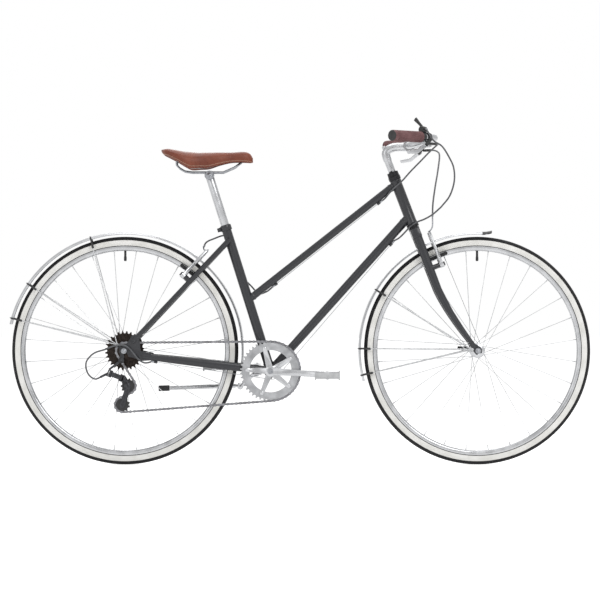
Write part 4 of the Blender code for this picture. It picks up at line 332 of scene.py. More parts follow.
def frames(path):
    """Two directions across a path at each of its points, carried along it without twist."""
    path = np.asarray(path, float)
    ahead = np.gradient(path, axis=0)
    ahead /= np.linalg.norm(ahead, axis=1)[:, None]
    across = np.zeros_like(path)
    last = np.eye(3)[np.argmin(np.abs(ahead[0]))]
    for k, direction in enumerate(ahead):
        last = last - direction * (last @ direction)
        last = last / np.linalg.norm(last)
        across[k] = last
    return across, np.cross(ahead, across)


def tube(path, radius, sides, number=0, caps=True):
    """A round tube along a path: point = path + radius (cos a · across + sin a · up)."""
    path = np.asarray(path, float)
    across, up = frames(path)
    radius = np.broadcast_to(np.asarray(radius, float), (len(path),))[:, None, None]
    angle = circle(sides)[None, :, None]
    ring = np.cos(angle) * across[:, None] + np.sin(angle) * up[:, None]
    return skin(path[:, None] + radius * ring, caps=caps, number=number)


def oval(centres, first, second, sizes):
    """A tube of ovals with half sizes a, b at each centre: centre + a cos(t) · first + b sin(t) · second."""
    angle = circle(32)[None, :, None]
    a, b = (half[:, None, None] for half in sizes)
    return skin(np.asarray(centres)[:, None] + a * np.cos(angle) * first + b * np.sin(angle) * second)


def turned(profile, centre, axis, sides=48, closed=False, number=0):
    """A profile of (radius, height) turned round an axis: centre + h·axis + r (cos a · u + sin a · w)."""
    axis = unit(axis)
    first = unit(np.cross(axis, Z if abs(axis[2]) < 0.9 else X))
    second = np.cross(axis, first)
    angle = circle(sides)[:, None]
    around = np.cos(angle) * first + np.sin(angle) * second
    radius, height = (column[:, None, None] for column in np.asarray(profile, float).T)
    girth = 2 * np.pi * np.arange(sides + 1) / sides * radius.max()
    return skin(centre + height * axis + radius * around, closed, number=number, uv=(travelled(profile), girth))


def prism(outline, centre, first, second, thick):
    """A flat plate: its outline in the plane of first and second, its thickness across it."""
    first, second = unit(first), unit(second)
    normal = np.cross(first, second)
    outline = np.asarray(outline, float)
    flat = centre + outline[:, :1] * first + outline[:, 1:] * second
    return skin(np.stack([flat - normal * thick / 2, flat + normal * thick / 2]))


def mirrored(half, flip, middle=()):
    """An outline of a half, the middle points, and the half in reverse times flip."""
    half = np.asarray(half, float)
    return np.concatenate([half, np.asarray(middle, float).reshape(-1, half.shape[1]), half[::-1] * flip])


def surfaced(work, mesh, materials, sharp):
    """Writes a worked mesh, faces outwards, with materials, and smooth but for edges of this many degrees."""
    bmesh.ops.recalc_face_normals(work, faces=work.faces)
    work.to_mesh(mesh)
    work.free()
    for made in materials:
        mesh.materials.append(made)
    mesh.polygons.foreach_set("use_smooth", np.ones(len(mesh.polygons), bool))
    mesh.set_sharp_from_angle(angle=math.radians(sharp))


def soften(made, width_mm, segments):
    """Rounds the sharp edges of a piece."""
    bevel = made.modifiers.new("edges", "BEVEL")
    bevel.width = width_mm / 1000.0
    bevel.segments = segments
    bevel.limit_method = "ANGLE"
    bevel.angle_limit = math.radians(50.0)


def object_of(name, mesh, body, replaced):
    """Puts a mesh in the scene as a piece that rides on a body and stands for CAD nodes."""
    made = add(name, mesh)
    if body:
        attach(made, body)
    if replaced:
        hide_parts(*replaced)
    return made


def shape(name, parts, materials, body, replaced=(), sharp=40.0):
    """One piece from several surfaces, with its faces turned outwards and smooth up to an angle."""
    points, faces, uvs, numbers = zip(*parts)
    starts = np.cumsum([0] + [len(part) for part in points]).tolist()
    faces = [[k + start for k in face] for start, part in zip(starts, faces) for face in part]
    mesh = bpy.data.meshes.new(name)
    mesh.from_pydata(np.concatenate(points), [], faces)
    mesh.uv_layers.new(name="UVMap").data.foreach_set("uv", np.concatenate(uvs).ravel())
    mesh.polygons.foreach_set("material_index", np.concatenate(numbers))
    work = bmesh.new()
    work.from_mesh(mesh)
    surfaced(work, mesh, materials, sharp)
    made = object_of(name, mesh, body, replaced)
    return made


def dressed(material, bevel_mm, *names):
    """Copies of CAD nodes with their triangles joined to faces and their edges rounded."""
    for name in names:
        source = frame["nodes"][name]
        work = bmesh.new()
        work.from_mesh(source.data)
        bmesh.ops.remove_doubles(work, verts=work.verts, dist=0.00002)
        bmesh.ops.dissolve_limit(work, angle_limit=math.radians(1.0), verts=work.verts, edges=work.edges)
        mesh = bpy.data.meshes.new(name + "_dressed")
        surfaced(work, mesh, [material], 50.0)
        made = object_of(name + "_dressed", mesh, source["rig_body"], (name,))
        if bevel_mm:
            soften(made, bevel_mm, 1)


def coat(name, material):
    """Gives a CAD node that shows as it is a material in place of its own."""
    materials = frame["nodes"][name].data.materials
    materials.clear()
    materials.append(material)


# ---- Wheels
# Two 700C wheels: a polished alloy box rim, a black tyre with a pale side wall, and 28 stainless
# spokes laced over two others to an alloy hub. The tyre is pressed on the rim, nipples hold the spokes.

# Black rubber tread: matt, dusty, with fine cross grooves about 3 mm apart
tread = finish("tyre_tread_rubber", "18181a", 0.82, Specular_IOR_Level=0.3)
tint(tread, 25.0, "141416", "232325")
tread_uv = node(tread.node_tree, "TexCoord").outputs["UV"]
tread_place = node(tread.node_tree, "Mapping", {"Vector": tread_uv, "Rotation": (0.0, 0.0, 0.6)})
tread_grooves = node(tread.node_tree, "TexWave", {"Vector": tread_place.outputs["Vector"], "Scale": 100.0,
                                                  "Distortion": 1.5, "Detail": 1.0})
relief(tread, tread_grooves.outputs["Fac"], 0.7, 0.8)

# Pale rubber side wall: satin, off-white, slightly soiled in patches
side_wall = finish("tyre_side_wall_rubber", "e4e3df", 0.55)
tint(side_wall, (40.0, 4.0), "d9d8d3", "ecebe8")
relief(side_wall, 1.2, 0.08, 0.5)

# Polished aluminium: bright, with fine turning lines and faint dulled patches
polished = finish("polished_aluminium", "b0b1b3", 0.22, 1.0)
polished_patches = pattern(polished, 30.0, 4.0)
tint(polished, polished_patches, "a5a6a8", "bcbdbf")
gloss(polished, polished_patches, 0.2, 0.34)
relief(polished, (0.5, 1.0, (1.0, 8.0, 1.0)), 0.01, 0.3)

# Stainless spokes: thin bright wire with a slight change of tone along it
spoke_steel = finish("stainless_spoke_steel", "b2b3b5", 0.3, 0.9)
tint(spoke_steel, 18.0, "a4a5a7", "c0c1c2")
gloss(spoke_steel, 6.0, 0.25, 0.4)

# Butyl inner tube and valve: dark matt rubber
butyl = finish("butyl_rubber", "1b1b1c", 0.7)
tint(butyl, 12.0, "161617", "262627")
relief(butyl, 0.8, 0.05, 0.4)

WHEEL_SIDES = 180
# The CAD's tyre has flats and reaches less far forwards than a circle; the round one is drawn in as much
TYRE_SQUASH = 0.9944
TYRE_OUTSIDE = curve(mirrored(mm((-8.5, 312.8), (-12.5, 315), (-15, 320.5), (-15.9, 327), (-15.2, 332.5),
                                 (-12.8, 337.2), (-9, 340.5), (-4.5, 342.5)),
                              (-1, 1), mm((0, 343))), 3)
TYRE_INSIDE = curve(mirrored(mm((8, 314.5), (11.5, 319), (12.8, 326.5), (10.5, 333.5)),
                             (-1, 1), mm((0, 337.5))), 2)
SIDE_WALL_FROM, SIDE_WALL_TO = 0.3165, 0.3318
RIM = np.roll(mirrored(mm((300, 5.5), (301.2, 8.5), (304, 10.8), (306.8, 11.9), (317.2, 11.9), (318, 11.4),
                          (317.6, 10.6), (307.4, 10.4), (306.6, 9.8)), (1, -1)), 1, 0)
# One flange of the hub from its outer face to the barrel, as (radius, distance inwards)
FLANGE = mm((20.5, -1.8), (22, -1.4), (22, 1.4), (20.5, 1.8), (16, 4.5), (13.4, 8.5))
SPOKES = 28
SPOKE_RADIUS, HEAD_RADIUS = 0.0010, 0.0018
HUB_HOLES, RIM_HOLES = 0.0190, 0.2992
NIPPLE = mm(1.5, 1.7, 2.1, 2.1)
VALVE_CAP = mm((3, -0.5), (4.1, 0.6), (4.3, 11), (3.4, 13), (1.2, 13.8))
VALVE_CAP_FOOT = 0.2835


def wheel(end, axle, left, right, hub_ends, carrier):
    """The tyre, rim, spoked hub and valve cap of one wheel, each riding on the wheel's body. The flanges
    are left and right of its middle, and the carrier is the radius of the hub's right end."""
    body = "wheel_" + end
    section = np.concatenate([TYRE_OUTSIDE, TYRE_INSIDE])[:, ::-1]
    points, faces, uv, _ = turned(section, axle, Y, WHEEL_SIDES, closed=True)
    points[:, 0] = axle[0] + (points[:, 0] - axle[0]) * TYRE_SQUASH
    span = (section[:, 0] + np.roll(section[:, 0], -1)) / 2
    pale = np.repeat((span > SIDE_WALL_FROM) & (span < SIDE_WALL_TO), WHEEL_SIDES)
    shape("tyre_surface_" + end, [(points, faces, uv[:, ::-1], pale.astype(int))], [tread, side_wall], body,
          ("tyre_" + end,), sharp=60.0)
    shape("rim_surface_" + end, [turned(RIM, axle, Y, WHEEL_SIDES, closed=True)], [polished], body,
          ("rim_" + end,), sharp=35.0)

    barrel = np.concatenate([[(carrier, -hub_ends[1]), (carrier, -right - 0.0060), (0.0165, -right - 0.0050)],
                             FLANGE - (0.0, right), [(0.0122, mixed(-right, left, 0.5))],
                             FLANGE[::-1] * (1, -1) + (0.0, left),
                             [(0.0165, left + 0.0050), (0.0108, left + 0.0070), (0.0104, hub_ends[0])]])
    parts = [turned(barrel, axle, Y, 40)]
    # On each side, every other spoke leans forwards and sits on the flange's outer face
    for side, flange in ((1, left), (-1, right)):
        for k in range(SPOKES // 2):
            lean = 1 if k % 2 else -1
            rim_angle = 2 * math.pi * (2 * k + (side > 0) + 0.5) / SPOKES
            hub_angle = rim_angle + lean * 8 * math.pi / SPOKES
            start = axle + radial(hub_angle) * HUB_HOLES + Y * side * (flange + lean * 0.0014)
            stop = axle + radial(rim_angle) * RIM_HOLES + Y * side * (0.003 + lean * 0.0012)
            along, head = unit(stop - start), Y * side * lean
            parts += [tube([start, stop - along * 0.001], SPOKE_RADIUS, 6, number=1),
                      tube([start - head * 0.0016, start + head * 0.0006], HEAD_RADIUS, 6, number=1),
                      tube([stop - along * back for back in mm(13, 3.5, 3, 0)], NIPPLE, 6, number=1)]
    shape("hub_surface_" + end, parts, [polished, spoke_steel], body, ("hub_" + end,))
    shape("valve_cap_" + end, [turned(VALVE_CAP, axle + Z * VALVE_CAP_FOOT, -Z, 16)], [butyl], body)
    coat("inner_tube_" + end, butyl)


wheel("rear", REAR_AXLE, 0.036, 0.021, (0.0634, 0.0275), 0.012)
wheel("front", FRONT_AXLE, 0.035, 0.035, (0.0459, 0.0459), 0.0095)


# ---- Axles and quick release
# Steel axles with cones and nuts; the front one is held by a cam lever.

# Zinc-plated steel: grey, semi-bright, slightly mottled
zinc = finish("zinc_plated_steel", "8f9195", 0.36, 1.0)
tint(zinc, 6.0, "7c7e82", "a0a2a6")
gloss(zinc, 4.0, 0.3, 0.45)

# Black-plated steel: nearly black with a metal sheen and greyer patches
black_steel = finish("black_plated_steel", "1d1d1f", 0.38, 0.6)
tint(black_steel, (9.0, 4.0), "171719", "2b2b2e")
gloss(black_steel, 5.0, 0.3, 0.5)

dressed(zinc, 0.4, "rear_axle", "front_axle")
dressed(black_steel, 0.8, "quick_release_lever")


# ---- Frame
# Welded steel tubes under dark grey enamel with a clear coat. The CAD's faceted tubes get round ones
# over them, with the welds where they meet; its lugs, bosses, stops and dropouts show as they are.

# Charcoal enamel: glossy clear coat, faint blue cast, fine metal flake and slight orange peel
enamel = finish("charcoal_enamel", "25262a", 0.4, Specular_IOR_Level=0.3, Coat_Weight=0.35, Coat_Roughness=0.06)
tint(enamel, (1.0, 1.0), "1f2023", "2c2d32", (0.35, 0.65))
relief(enamel, (4.0, 1.0), 0.03, 0.25)

# The round tubes lie this far over the CAD's
TUBE_OVER = 0.0001
SEAT_TUBE, TOP_TUBE, DOWN_TUBE = (radius + TUBE_OVER for radius in (0.0143, 0.0111, 0.0127))
STAY_SPAN = float(np.linalg.norm(seat(0.414) - REAR_AXLE))
STAY_SPREAD = 0.0705
CHAIN_STAY_FOOT = REAR_AXLE + np.array((0.056, 0.0, -0.0165))
CHAIN_STAY_RUN = BOTTOM_BRACKET - CHAIN_STAY_FOOT
CHAIN_STAY_DIR = unit(CHAIN_STAY_RUN + Z * 0.001)
CHAIN_STAY_DOWN = below(CHAIN_STAY_DIR)
CHAIN_STAY_END = 0.955
TOP_TUBE_LOW, TOP_TUBE_HIGH = seat(0.224), steer(0.5574)
TOP_TUBE_DIR = unit(TOP_TUBE_HIGH - TOP_TUBE_LOW)
TOP_TUBE_DOWN = below(TOP_TUBE_DIR)
DOWN_TUBE_HIGH = steer(0.4509)
DOWN_TUBE_DIR = unit(DOWN_TUBE_HIGH - BOTTOM_BRACKET)
DOWN_TUBE_DOWN = below(DOWN_TUBE_DIR)


def seat_stay(along, side):
    """A point on a seat stay by its distance from the rear axle."""
    spread = mixed(STAY_SPREAD, 0.016, (along - 0.045) / (STAY_SPAN - 0.045))
    return on_stays(along, 0.0, side * spread)


def chain_stay(share, side, down=0.0):
    """A point on a chain stay by its share of the way to the bottom bracket."""
    along = CHAIN_STAY_DIR * float(np.linalg.norm(CHAIN_STAY_RUN)) * share
    return CHAIN_STAY_FOOT + along + CHAIN_STAY_DOWN * down + Y * side * mixed(STAY_SPREAD, 0.0245, share)


def weld(end, along, radius, reach):
    """A low bead round the end of a tube: radius + 1.4 mm fading over its reach."""
    steps = np.linspace(0.0, reach, 6)[:, None]
    return tube(end + along * steps, radius + mm(0.1, 0.9, 1.4, 1.2, 0.6, 0), 32)


over = [tube([seat(0.0195), seat(0.4602)], SEAT_TUBE, 40, caps=False),
        tube([TOP_TUBE_LOW, TOP_TUBE_HIGH - TOP_TUBE_DIR * 0.0198], TOP_TUBE, 40),
        tube([BOTTOM_BRACKET + DOWN_TUBE_DIR * 0.0195, DOWN_TUBE_HIGH - DOWN_TUBE_DIR * 0.0215], DOWN_TUBE, 40),
        turned(mirrored(mm((15, -71), (16.4, -71), (17.1, -69.8), (17.1, -64.8), (16.4, -63)), (1, -1)),
               steer(0.4974), STEER_UP, closed=True),
        turned(mirrored(mm((14.9, -34), (19.6, -34), (20.1, -33.4)), (1, -1)), BOTTOM_BRACKET, Y, closed=True),
        turned(mm((14.4, -17.2), (17.1, -16.8), (17.4, -16), (17.4, -2), (17.1, -1.1), (14.4, -0.9)),
               seat(0.460), SEAT_UP, 40, closed=True),
        weld(TOP_TUBE_LOW + TOP_TUBE_DIR * 0.0150, TOP_TUBE_DIR, TOP_TUBE, 0.008),
        weld(TOP_TUBE_HIGH - TOP_TUBE_DIR * 0.0200, -TOP_TUBE_DIR, TOP_TUBE, 0.007),
        weld(DOWN_TUBE_HIGH - DOWN_TUBE_DIR * 0.0215, -DOWN_TUBE_DIR, DOWN_TUBE, 0.007),
        weld(BOTTOM_BRACKET + DOWN_TUBE_DIR * 0.0205, DOWN_TUBE_DIR, DOWN_TUBE, 0.008),
        weld(seat(0.0205), SEAT_UP, SEAT_TUBE, 0.008)]
shares = np.linspace(0.0, CHAIN_STAY_END, 24)
stay_sizes = [np.interp(shares, (0.0, 0.22, 0.55, CHAIN_STAY_END), sizes)
              for sizes in mm((6.1, 7.1, 8.6, 6.3), (8.1, 10.6, 13.1, 11.1))]
for side in (-1, 1):
    over.append(tube([seat_stay(0.035, side), seat_stay(STAY_SPAN, side)], mm(7.3, 8.1), 32))
    over.append(oval([chain_stay(share, side) for share in shares], Y, CHAIN_STAY_DOWN, stay_sizes))
shape("frame_tubes", over, [enamel], "frame")
dressed(enamel, 0.5, "frame")


# ---- Fork and headset
# A steel fork in the same enamel: a crown, two blades that bend forwards and taper, forged tips.
# The headset's pressed cups and its locknut are black-plated steel.

BEND_FROM = 0.215
heights = np.linspace(0.030, 0.392, 40)
rake = FORK_RAKE * np.clip((BEND_FROM - heights) / BEND_FROM, 0.0, None) ** 1.5
spread = mixed(0.033, 0.053, (0.383 - heights) / 0.383)
blade_sizes = [np.interp(heights, (0.030, 0.080, 0.140, BEND_FROM, 0.392), sizes)
               for sizes in mm((7.1, 8.8, 10.3, 11.9, 13.9), (7.1, 7.7, 8.7, 9.9, 9.6))]
blades = []
for side in (-1, 1):
    centres = STEER_FOOT + heights[:, None] * STEER_UP + rake[:, None] * STEER_OUT + side * spread[:, None] * Y
    blades.append(oval(centres, STEER_OUT, Y, blade_sizes))
blades.append(turned(mm((12, 400), (16.6, 408), (16.6, 414.6), (12, 414.6)), STEER_FOOT, STEER_UP, 40))
shape("fork_blades", blades, [enamel], "fork")
dressed(enamel, 1.2, "fork")
dressed(black_steel, 0.3, "headset_upper_cup", "headset_lower_cup", "headset_locknut")


# ---- Mudguards
# Rolled aluminium blades over both wheels with wire stays, black clips and a black tip.

# Anodised aluminium: satin silver with faint rolling lines
anodised = finish("anodised_aluminium", "b4b5b7", 0.34, 1.0)
tint(anodised, (45.0, 4.0), "a9aaac", "bfc0c2")
relief(anodised, (0.8, 1.0, (1.0, 10.0, 1.0)), 0.015, 0.4)

# Black moulded plastic: satin, with a fine grain
plastic = finish("black_moulded_plastic", "1a1a1b", 0.5)
tint(plastic, 14.0, "161617", "242425")
relief(plastic, (0.6, 2.0), 0.04, 0.5)

GUARD_RADIUS = 0.358
GUARD_HALF, GUARD_INNER_HALF = 0.0199, 0.0190
GUARD_THICK, ROLLED_EDGE = 0.0013, 0.0006
STAY_WIRE = 0.0016
EYE_RADIUS, EYE_HALF = 0.0047, 0.0018
# The radius and the side at which a stay meets the blade's edge and at which it lies on the blade
EDGE_PLACE, CROSSING_PLACE = (0.353, 0.0219), (0.3599, 0.012)
CLIP, TURN_UP = mm(2.6, 3.4, 3.4, 2.6), mm(2.4, 2.8, 2.4)


def guard(axle, start, end, grow=0.0, lift=0.0, number=0):
    """A crowned blade with rolled edges: radius = 0.358 - 0.006 (side / half width)^2.6. It can be grown
    on all sides and lifted towards its start."""
    side = np.linspace(-1.0, 1.0, 15)
    crown = GUARD_RADIUS - 0.006 * np.abs(side) ** 2.6
    edge = np.where(np.abs(side) > 0.95, ROLLED_EDGE, 0.0)
    outer = np.stack([crown + grow, side * (GUARD_HALF + grow)], 1)
    inner = np.stack([crown - GUARD_THICK - edge - grow, side * GUARD_INNER_HALF], 1)[::-1]
    section = np.concatenate([outer, inner])
    share = np.linspace(0.0, 1.0, 80)
    angle = np.radians(mixed(start, end, share))
    out = np.cos(angle)[:, None] * X + np.sin(angle)[:, None] * Z
    reach = section[None, :, :1] + (lift * (1.0 - share) ** 2)[:, None, None]
    return skin(axle + reach * out[:, None] + section[None, :, 1:] * Y, number=number)


def stays(axle, eyelet, eye, clips):
    """Wires from the eyelets, which are this far to each side, over the blade, and the clips on them."""
    parts = [tube([eyelet + Y * side * (eye - EYE_HALF), eyelet + Y * side * (eye + EYE_HALF)], EYE_RADIUS, 20)
             for side in (-1, 1)]
    foot = eyelet + Y * eye
    for angle in np.radians(clips):
        edge, crossing = (axle + radial(angle) * radius + Y * out for radius, out in (EDGE_PLACE, CROSSING_PLACE))
        parts.append(tube(mirrored([foot, mixed(foot, edge, 0.97), edge, crossing], (1, -1, 1)), STAY_WIRE, 10))
        clip = [mixed(foot, edge, share) for share in (0.905, 0.91, 0.95, 0.955)]
        turn_up = [mixed(foot, edge, 0.955), edge, mixed(edge, crossing, 0.6)]
        for side in (-1, 1):
            parts.append(tube(np.array(clip) * (1, side, 1), CLIP, 12, number=1))
            parts.append(tube(np.array(turn_up) * (1, side, 1), TURN_UP, 12, number=1))
    return parts


shape("mudguard_blade_rear", [guard(REAR_AXLE, -9.0, 167.0)], [anodised], "frame", ("mudguard_rear",))
shape("mudguard_blade_front", [guard(FRONT_AXLE, 85.0, 195.0), guard(FRONT_AXLE, 83.0, 87.5, 0.0007, 0.006, 1)],
      [anodised, plastic], "fork", ("mudguard_front",))
shape("stay_wires_rear", stays(REAR_AXLE, rear(-0.020, 0.019), 0.0757, (107.0, 145.5, 164.0)),
      [spoke_steel, plastic], "frame", ("mudguard_stays_rear",))
shape("stay_wires_front", stays(FRONT_AXLE, FRONT_AXLE + np.array((-0.018, 0.0, 0.004)), 0.0572,
                                (149.0, 179.0, 192.0)),
      [spoke_steel, plastic], "fork", ("mudguard_stays_front",))


# ---- Crank set
# Forged alloy cranks on a steel spindle, a 44-tooth steel chainring on the right crank's spider,
# and flat pedals that turn on the cranks' axles.

# Steel chainring: grey, with a slight stain of oil that dulls it in patches
ring_steel = finish("brushed_chainring_steel", "a3a4a6", 0.35, 1.0)
ring_stain = pattern(ring_steel, 28.0, 4.0)
tint(ring_steel, ring_stain, "8f9092", "b4b5b7")
gloss(ring_steel, ring_stain, 0.28, 0.45)

CHAIN_PITCH = 0.0127


def pitch_radius(teeth):
    """The radius on which a chain's pins lie round so many teeth: 12.7 mm / (2 sin(pi / teeth))."""
    return CHAIN_PITCH / (2 * math.sin(math.pi / teeth))


def toothed(teeth, inner, plane, axle, thick):
    """A sprocket. Its edge lies 4.0 mm inside the pitch circle in the rollers' seats, and is higher by
    6.8 mm · s² (3 - 2s) towards a tooth's tip, where s is 1."""
    share = (np.arange(16) + 0.5) / 16 - 0.5
    rise = np.clip((np.abs(share) - 0.13) / 0.31, 0.0, 1.0)
    angle = ((np.arange(teeth)[:, None] + share[None, :]) * 2 * np.pi / teeth).ravel()
    radius = np.tile(pitch_radius(teeth) - 0.0040 + 0.0068 * rise ** 2 * (3 - 2 * rise), teeth)
    hole = np.full_like(radius, inner)
    right, left = plane - thick / 2, plane + thick / 2
    rings = []
    for size, y in ((hole, right), (radius - 0.0003, right), (radius, right + 0.0003), (radius, left - 0.0003),
                    (radius - 0.0003, left), (hole, left)):
        rings.append(axle + np.stack([size * np.cos(angle), np.full_like(size, y), size * np.sin(angle)], 1))
    return skin(np.stack(rings, 1))


RING_PLANE, SPROCKET_PLANE = -0.046, -0.061
shape("chainring_teeth", [toothed(44, 0.0630, RING_PLANE, BOTTOM_BRACKET, 0.0022)], [ring_steel], "crank",
      ("chainring",), sharp=30.0)
dressed(polished, 1.4, "crank_right", "crank_left")
coat("spindle", zinc)

# Pedal bodies: pale grey plastic with a satin moulded face
pale_plastic = finish("pale_grey_plastic", "b5b6b7", 0.45)
tint(pale_plastic, 16.0, "a9aaac", "c0c1c2")
relief(pale_plastic, (0.7, 2.0), 0.04, 0.5)
dressed(pale_plastic, 1.0, "pedal_right", "pedal_left")


# ---- Chain
# A roller chain of steel plates riveted in pairs at a 12.7 mm pitch, running over the chainring,
# the smallest sprocket and the two jockey wheels. It is oiled.

# Oiled chain steel: grey-brown, uneven gloss
chain_steel = finish("oiled_chain_steel", "74747a", 0.36, 1.0)
chain_oil = pattern(chain_steel, 20.0, 4.0)
tint(chain_steel, chain_oil, "5e5d5f", "8c8c90")
gloss(chain_steel, chain_oil, 0.25, 0.5)

GUIDE = np.array((-0.513548, SPROCKET_PLANE, 0.2378))
TENSION = np.array((-0.531648, SPROCKET_PLANE, 0.182))
PLATE_END, PLATE_THICK, ROLLER, RIVET = 0.0040, 0.0008, 0.0037, 0.0018
# How far the inner and the outer plates lie from the chain's middle, and the ends of rollers and rivets
INNER_PLATE, OUTER_PLATE, ROLLER_HALF, RIVET_HALF = 0.0015, 0.0024, 0.0011, 0.0032


def turn(way, angle):
    """A direction in the bike's plane turned by an angle (anticlockwise seen from -Y)."""
    return np.array((way[0] * math.cos(angle) - way[2] * math.sin(angle), 0.0,
                     way[0] * math.sin(angle) + way[2] * math.cos(angle)))


def chain_path():
    """The closed line of the chain: arcs on the wheels and straight spans tangent to them."""
    pitch = [pitch_radius(teeth) for teeth in (44, 12, 11, 11)]
    centres = [BOTTOM_BRACKET + Y * RING_PLANE, REAR_AXLE + Y * SPROCKET_PLANE, GUIDE, TENSION]
    ways = (1, 1, -1, 1)
    spans = []
    for k in range(4):
        far = (k + 1) % 4
        apart = (centres[far] - centres[k]) * (1, 0, 1)
        offset = ways[far] * pitch[far] - ways[k] * pitch[k]
        ahead = turn(unit(apart), -math.atan2(offset, math.sqrt(apart @ apart - offset ** 2)))
        inside = turn(ahead, math.pi / 2)
        spans.append((centres[k] - inside * ways[k] * pitch[k], centres[far] - inside * ways[far] * pitch[far]))
    points = []
    for k in range(4):
        start, stop = spans[k]
        # A span at the chainring changes its plane only where it is clear of the teeth
        clear = {0: (0.09, 0.95), 3: (0.05, 0.91)}.get(k, (0.0, 1.0))
        for share in np.linspace(0.0, 1.0, 40)[1:-1]:
            point = mixed(start, stop, share)
            point[1] = mixed(start[1], stop[1], np.interp(share, clear, (0.0, 1.0)))
            points.append(point)
        far = (k + 1) % 4
        first, last = stop - centres[far], spans[far][0] - centres[far]
        begin = math.atan2(first[2], first[0])
        sweep = ((math.atan2(last[2], last[0]) - begin) * ways[far]) % (2 * math.pi)
        for share in np.linspace(0.0, 1.0, 24):
            points.append(centres[far] + radial(begin + ways[far] * sweep * share) * pitch[far])
    return np.array(points)


loop = chain_path()
lengths = travelled(loop)
loop = np.concatenate([loop, loop[:1]])
links = 2 * round(lengths[-1] / CHAIN_PITCH / 2)
marks = np.linspace(0.0, lengths[-1], links + 1)
pins = np.stack([np.interp(marks, lengths, loop[:, i]) for i in range(3)], 1)
# Three runs of links: over the chainring and the sprocket; from there round both jockey wheels; and back.
# The derailleur's cage swings to keep the chain tight; the last two runs ride on no body.
runs = {"links": [], "jockey": [], "return": []}
for k, (here, there) in enumerate(zip(pins[:-1], pins[1:])):
    run = "links"
    if here[2] < 0.200 and -0.525 < here[0] < -0.140:
        run = "return"
    elif here[2] < 0.280 and here[0] < -0.45:
        run = "jockey"
    ahead = unit(there - here)
    across = unit(np.cross(ahead, Y))
    half = float(np.linalg.norm(there - here)) / 2
    angle = np.radians(np.arange(-80, 81, 20))
    front = np.stack([half + PLATE_END * np.cos(angle), PLATE_END * np.sin(angle)], 1)
    above = np.array([(0.45 * half, 0.0031), (0.0, 0.0026), (-0.45 * half, 0.0031)])
    outline = np.concatenate([front, above, -front, -above])
    level = OUTER_PLATE if k % 2 else INNER_PLATE
    runs[run] += [prism(outline, mixed(here, there, 0.5) + Y * side * level, ahead, across, PLATE_THICK)
                  for side in (-1, 1)]
    runs[run] += [tube([here - Y * ROLLER_HALF, here + Y * ROLLER_HALF], ROLLER, 12),
                  tube([here - Y * RIVET_HALF, here + Y * RIVET_HALF], RIVET, 10, number=1)]
shape("chain_links", runs["links"], [chain_steel, zinc], "frame", ("chain",))
for run, start, stop in (("jockey", (-0.500, -0.061, 0.280), (-0.502, -0.061, 0.258)),
                         ("return", (-0.440, -0.060, 0.165), (-0.511, -0.061, 0.160))):
    made = shape("chain_" + run, runs[run], [chain_steel, zinc], None)
    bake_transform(made)


# ---- Sprockets and rear derailleur
# Seven dark steel sprockets on the freewheel's body; a derailleur of pressed links that holds two
# toothed jockey wheels in a cage below it.

# Browned freewheel steel: dark brown-black with an oily sheen
browned = finish("browned_freewheel_steel", "2a2422", 0.38, 0.9)
tint(browned, (12.0, 2.0), "221d1b", "362f2b")
gloss(browned, 7.0, 0.28, 0.5)

cogs = [toothed(teeth, 0.0155, -0.031 - 0.005 * k, REAR_AXLE, 0.0019)
        for k, teeth in enumerate((28, 24, 21, 18, 16, 14, 12))]
carrier = turned(mm((6, -63.4), (12, -63.4), (12, -62.8), (16, -62.6), (16, -29), (12, -28.8), (12, -27.9),
                    (6, -27.9)), REAR_AXLE, Y, 40)
shape("sprocket_teeth", cogs + [carrier], [browned], "sprockets", ("sprocket_cluster",), sharp=30.0)

# Painted link: dark satin metal with paler worn patches
link_metal = finish("dark_link_metal", "2a2a2c", 0.35, 0.5)
tint(link_metal, (8.0, 4.0), "212123", "45464a", (0.35, 0.75))
gloss(link_metal, 5.0, 0.28, 0.5)
dressed(link_metal, 0.8, "derailleur_bracket", "derailleur_outer_link")
dressed(link_metal, 0.6, "derailleur_inner_link")
dressed(link_metal, 0.8, "derailleur_knuckle")
dressed(link_metal, 0.4, "derailleur_cage")
dressed(plastic, 0.2, "guide_pulley", "tension_pulley")


# ---- Brakes
# Long alloy linear-pull arms on studs, each with a black shoe that faces the rim.
# The shoes are moulded round the arms' posts, so each is part of its arm.

# Brake rubber: dull black
shoe_rubber = finish("brake_shoe_rubber", "161617", 0.75)
tint(shoe_rubber, 8.0, "121213", "202021")
relief(shoe_rubber, (0.8, 2.0), 0.05, 0.5)

PAD_RADIUS, REAR_PAD_BACK, FRONT_PAD_BACK = 0.3075, 0.027, 0.008
SHOE = mirrored(mirrored(mm((-29, -3), (-28, -4.5), (-25.5, -5.3)), (-1, 1)), (1, -1))


def shoe(end, side, hand, axle, flat):
    """A rounded block that lies along the rim at the arm's pad."""
    away = unit(flat - axle)
    made = shape("brake_shoe_%s_%s" % (end, hand),
                 [prism(SHOE, flat + Y * side * 0.019, np.cross(away, Y), away, 0.0104)], [shoe_rubber],
                 "brake_arm_%s_%s" % (end, hand))
    soften(made, 0.8, 2)


SIDES = ((-1, "right"), (1, "left"))
for side, hand in SIDES:
    height = math.sqrt(PAD_RADIUS ** 2 - REAR_PAD_BACK ** 2)
    shoe("rear", side, hand, REAR_AXLE, on_stays(height, REAR_PAD_BACK))
    height = math.sqrt(PAD_RADIUS ** 2 - FRONT_PAD_BACK ** 2)
    shoe("front", side, hand, FRONT_AXLE, steer(height, FORK_RAKE - FRONT_PAD_BACK))
    dressed(polished, 0.8, "brake_arm_rear_" + hand, "brake_arm_front_" + hand)


# ---- Stem, handlebar and grips
# A cast alloy quill stem, a swept-back alloy bar clamped in it, and soft brown grips with ribs.
# The grips are pushed on; their ends are closed by a dark disc.

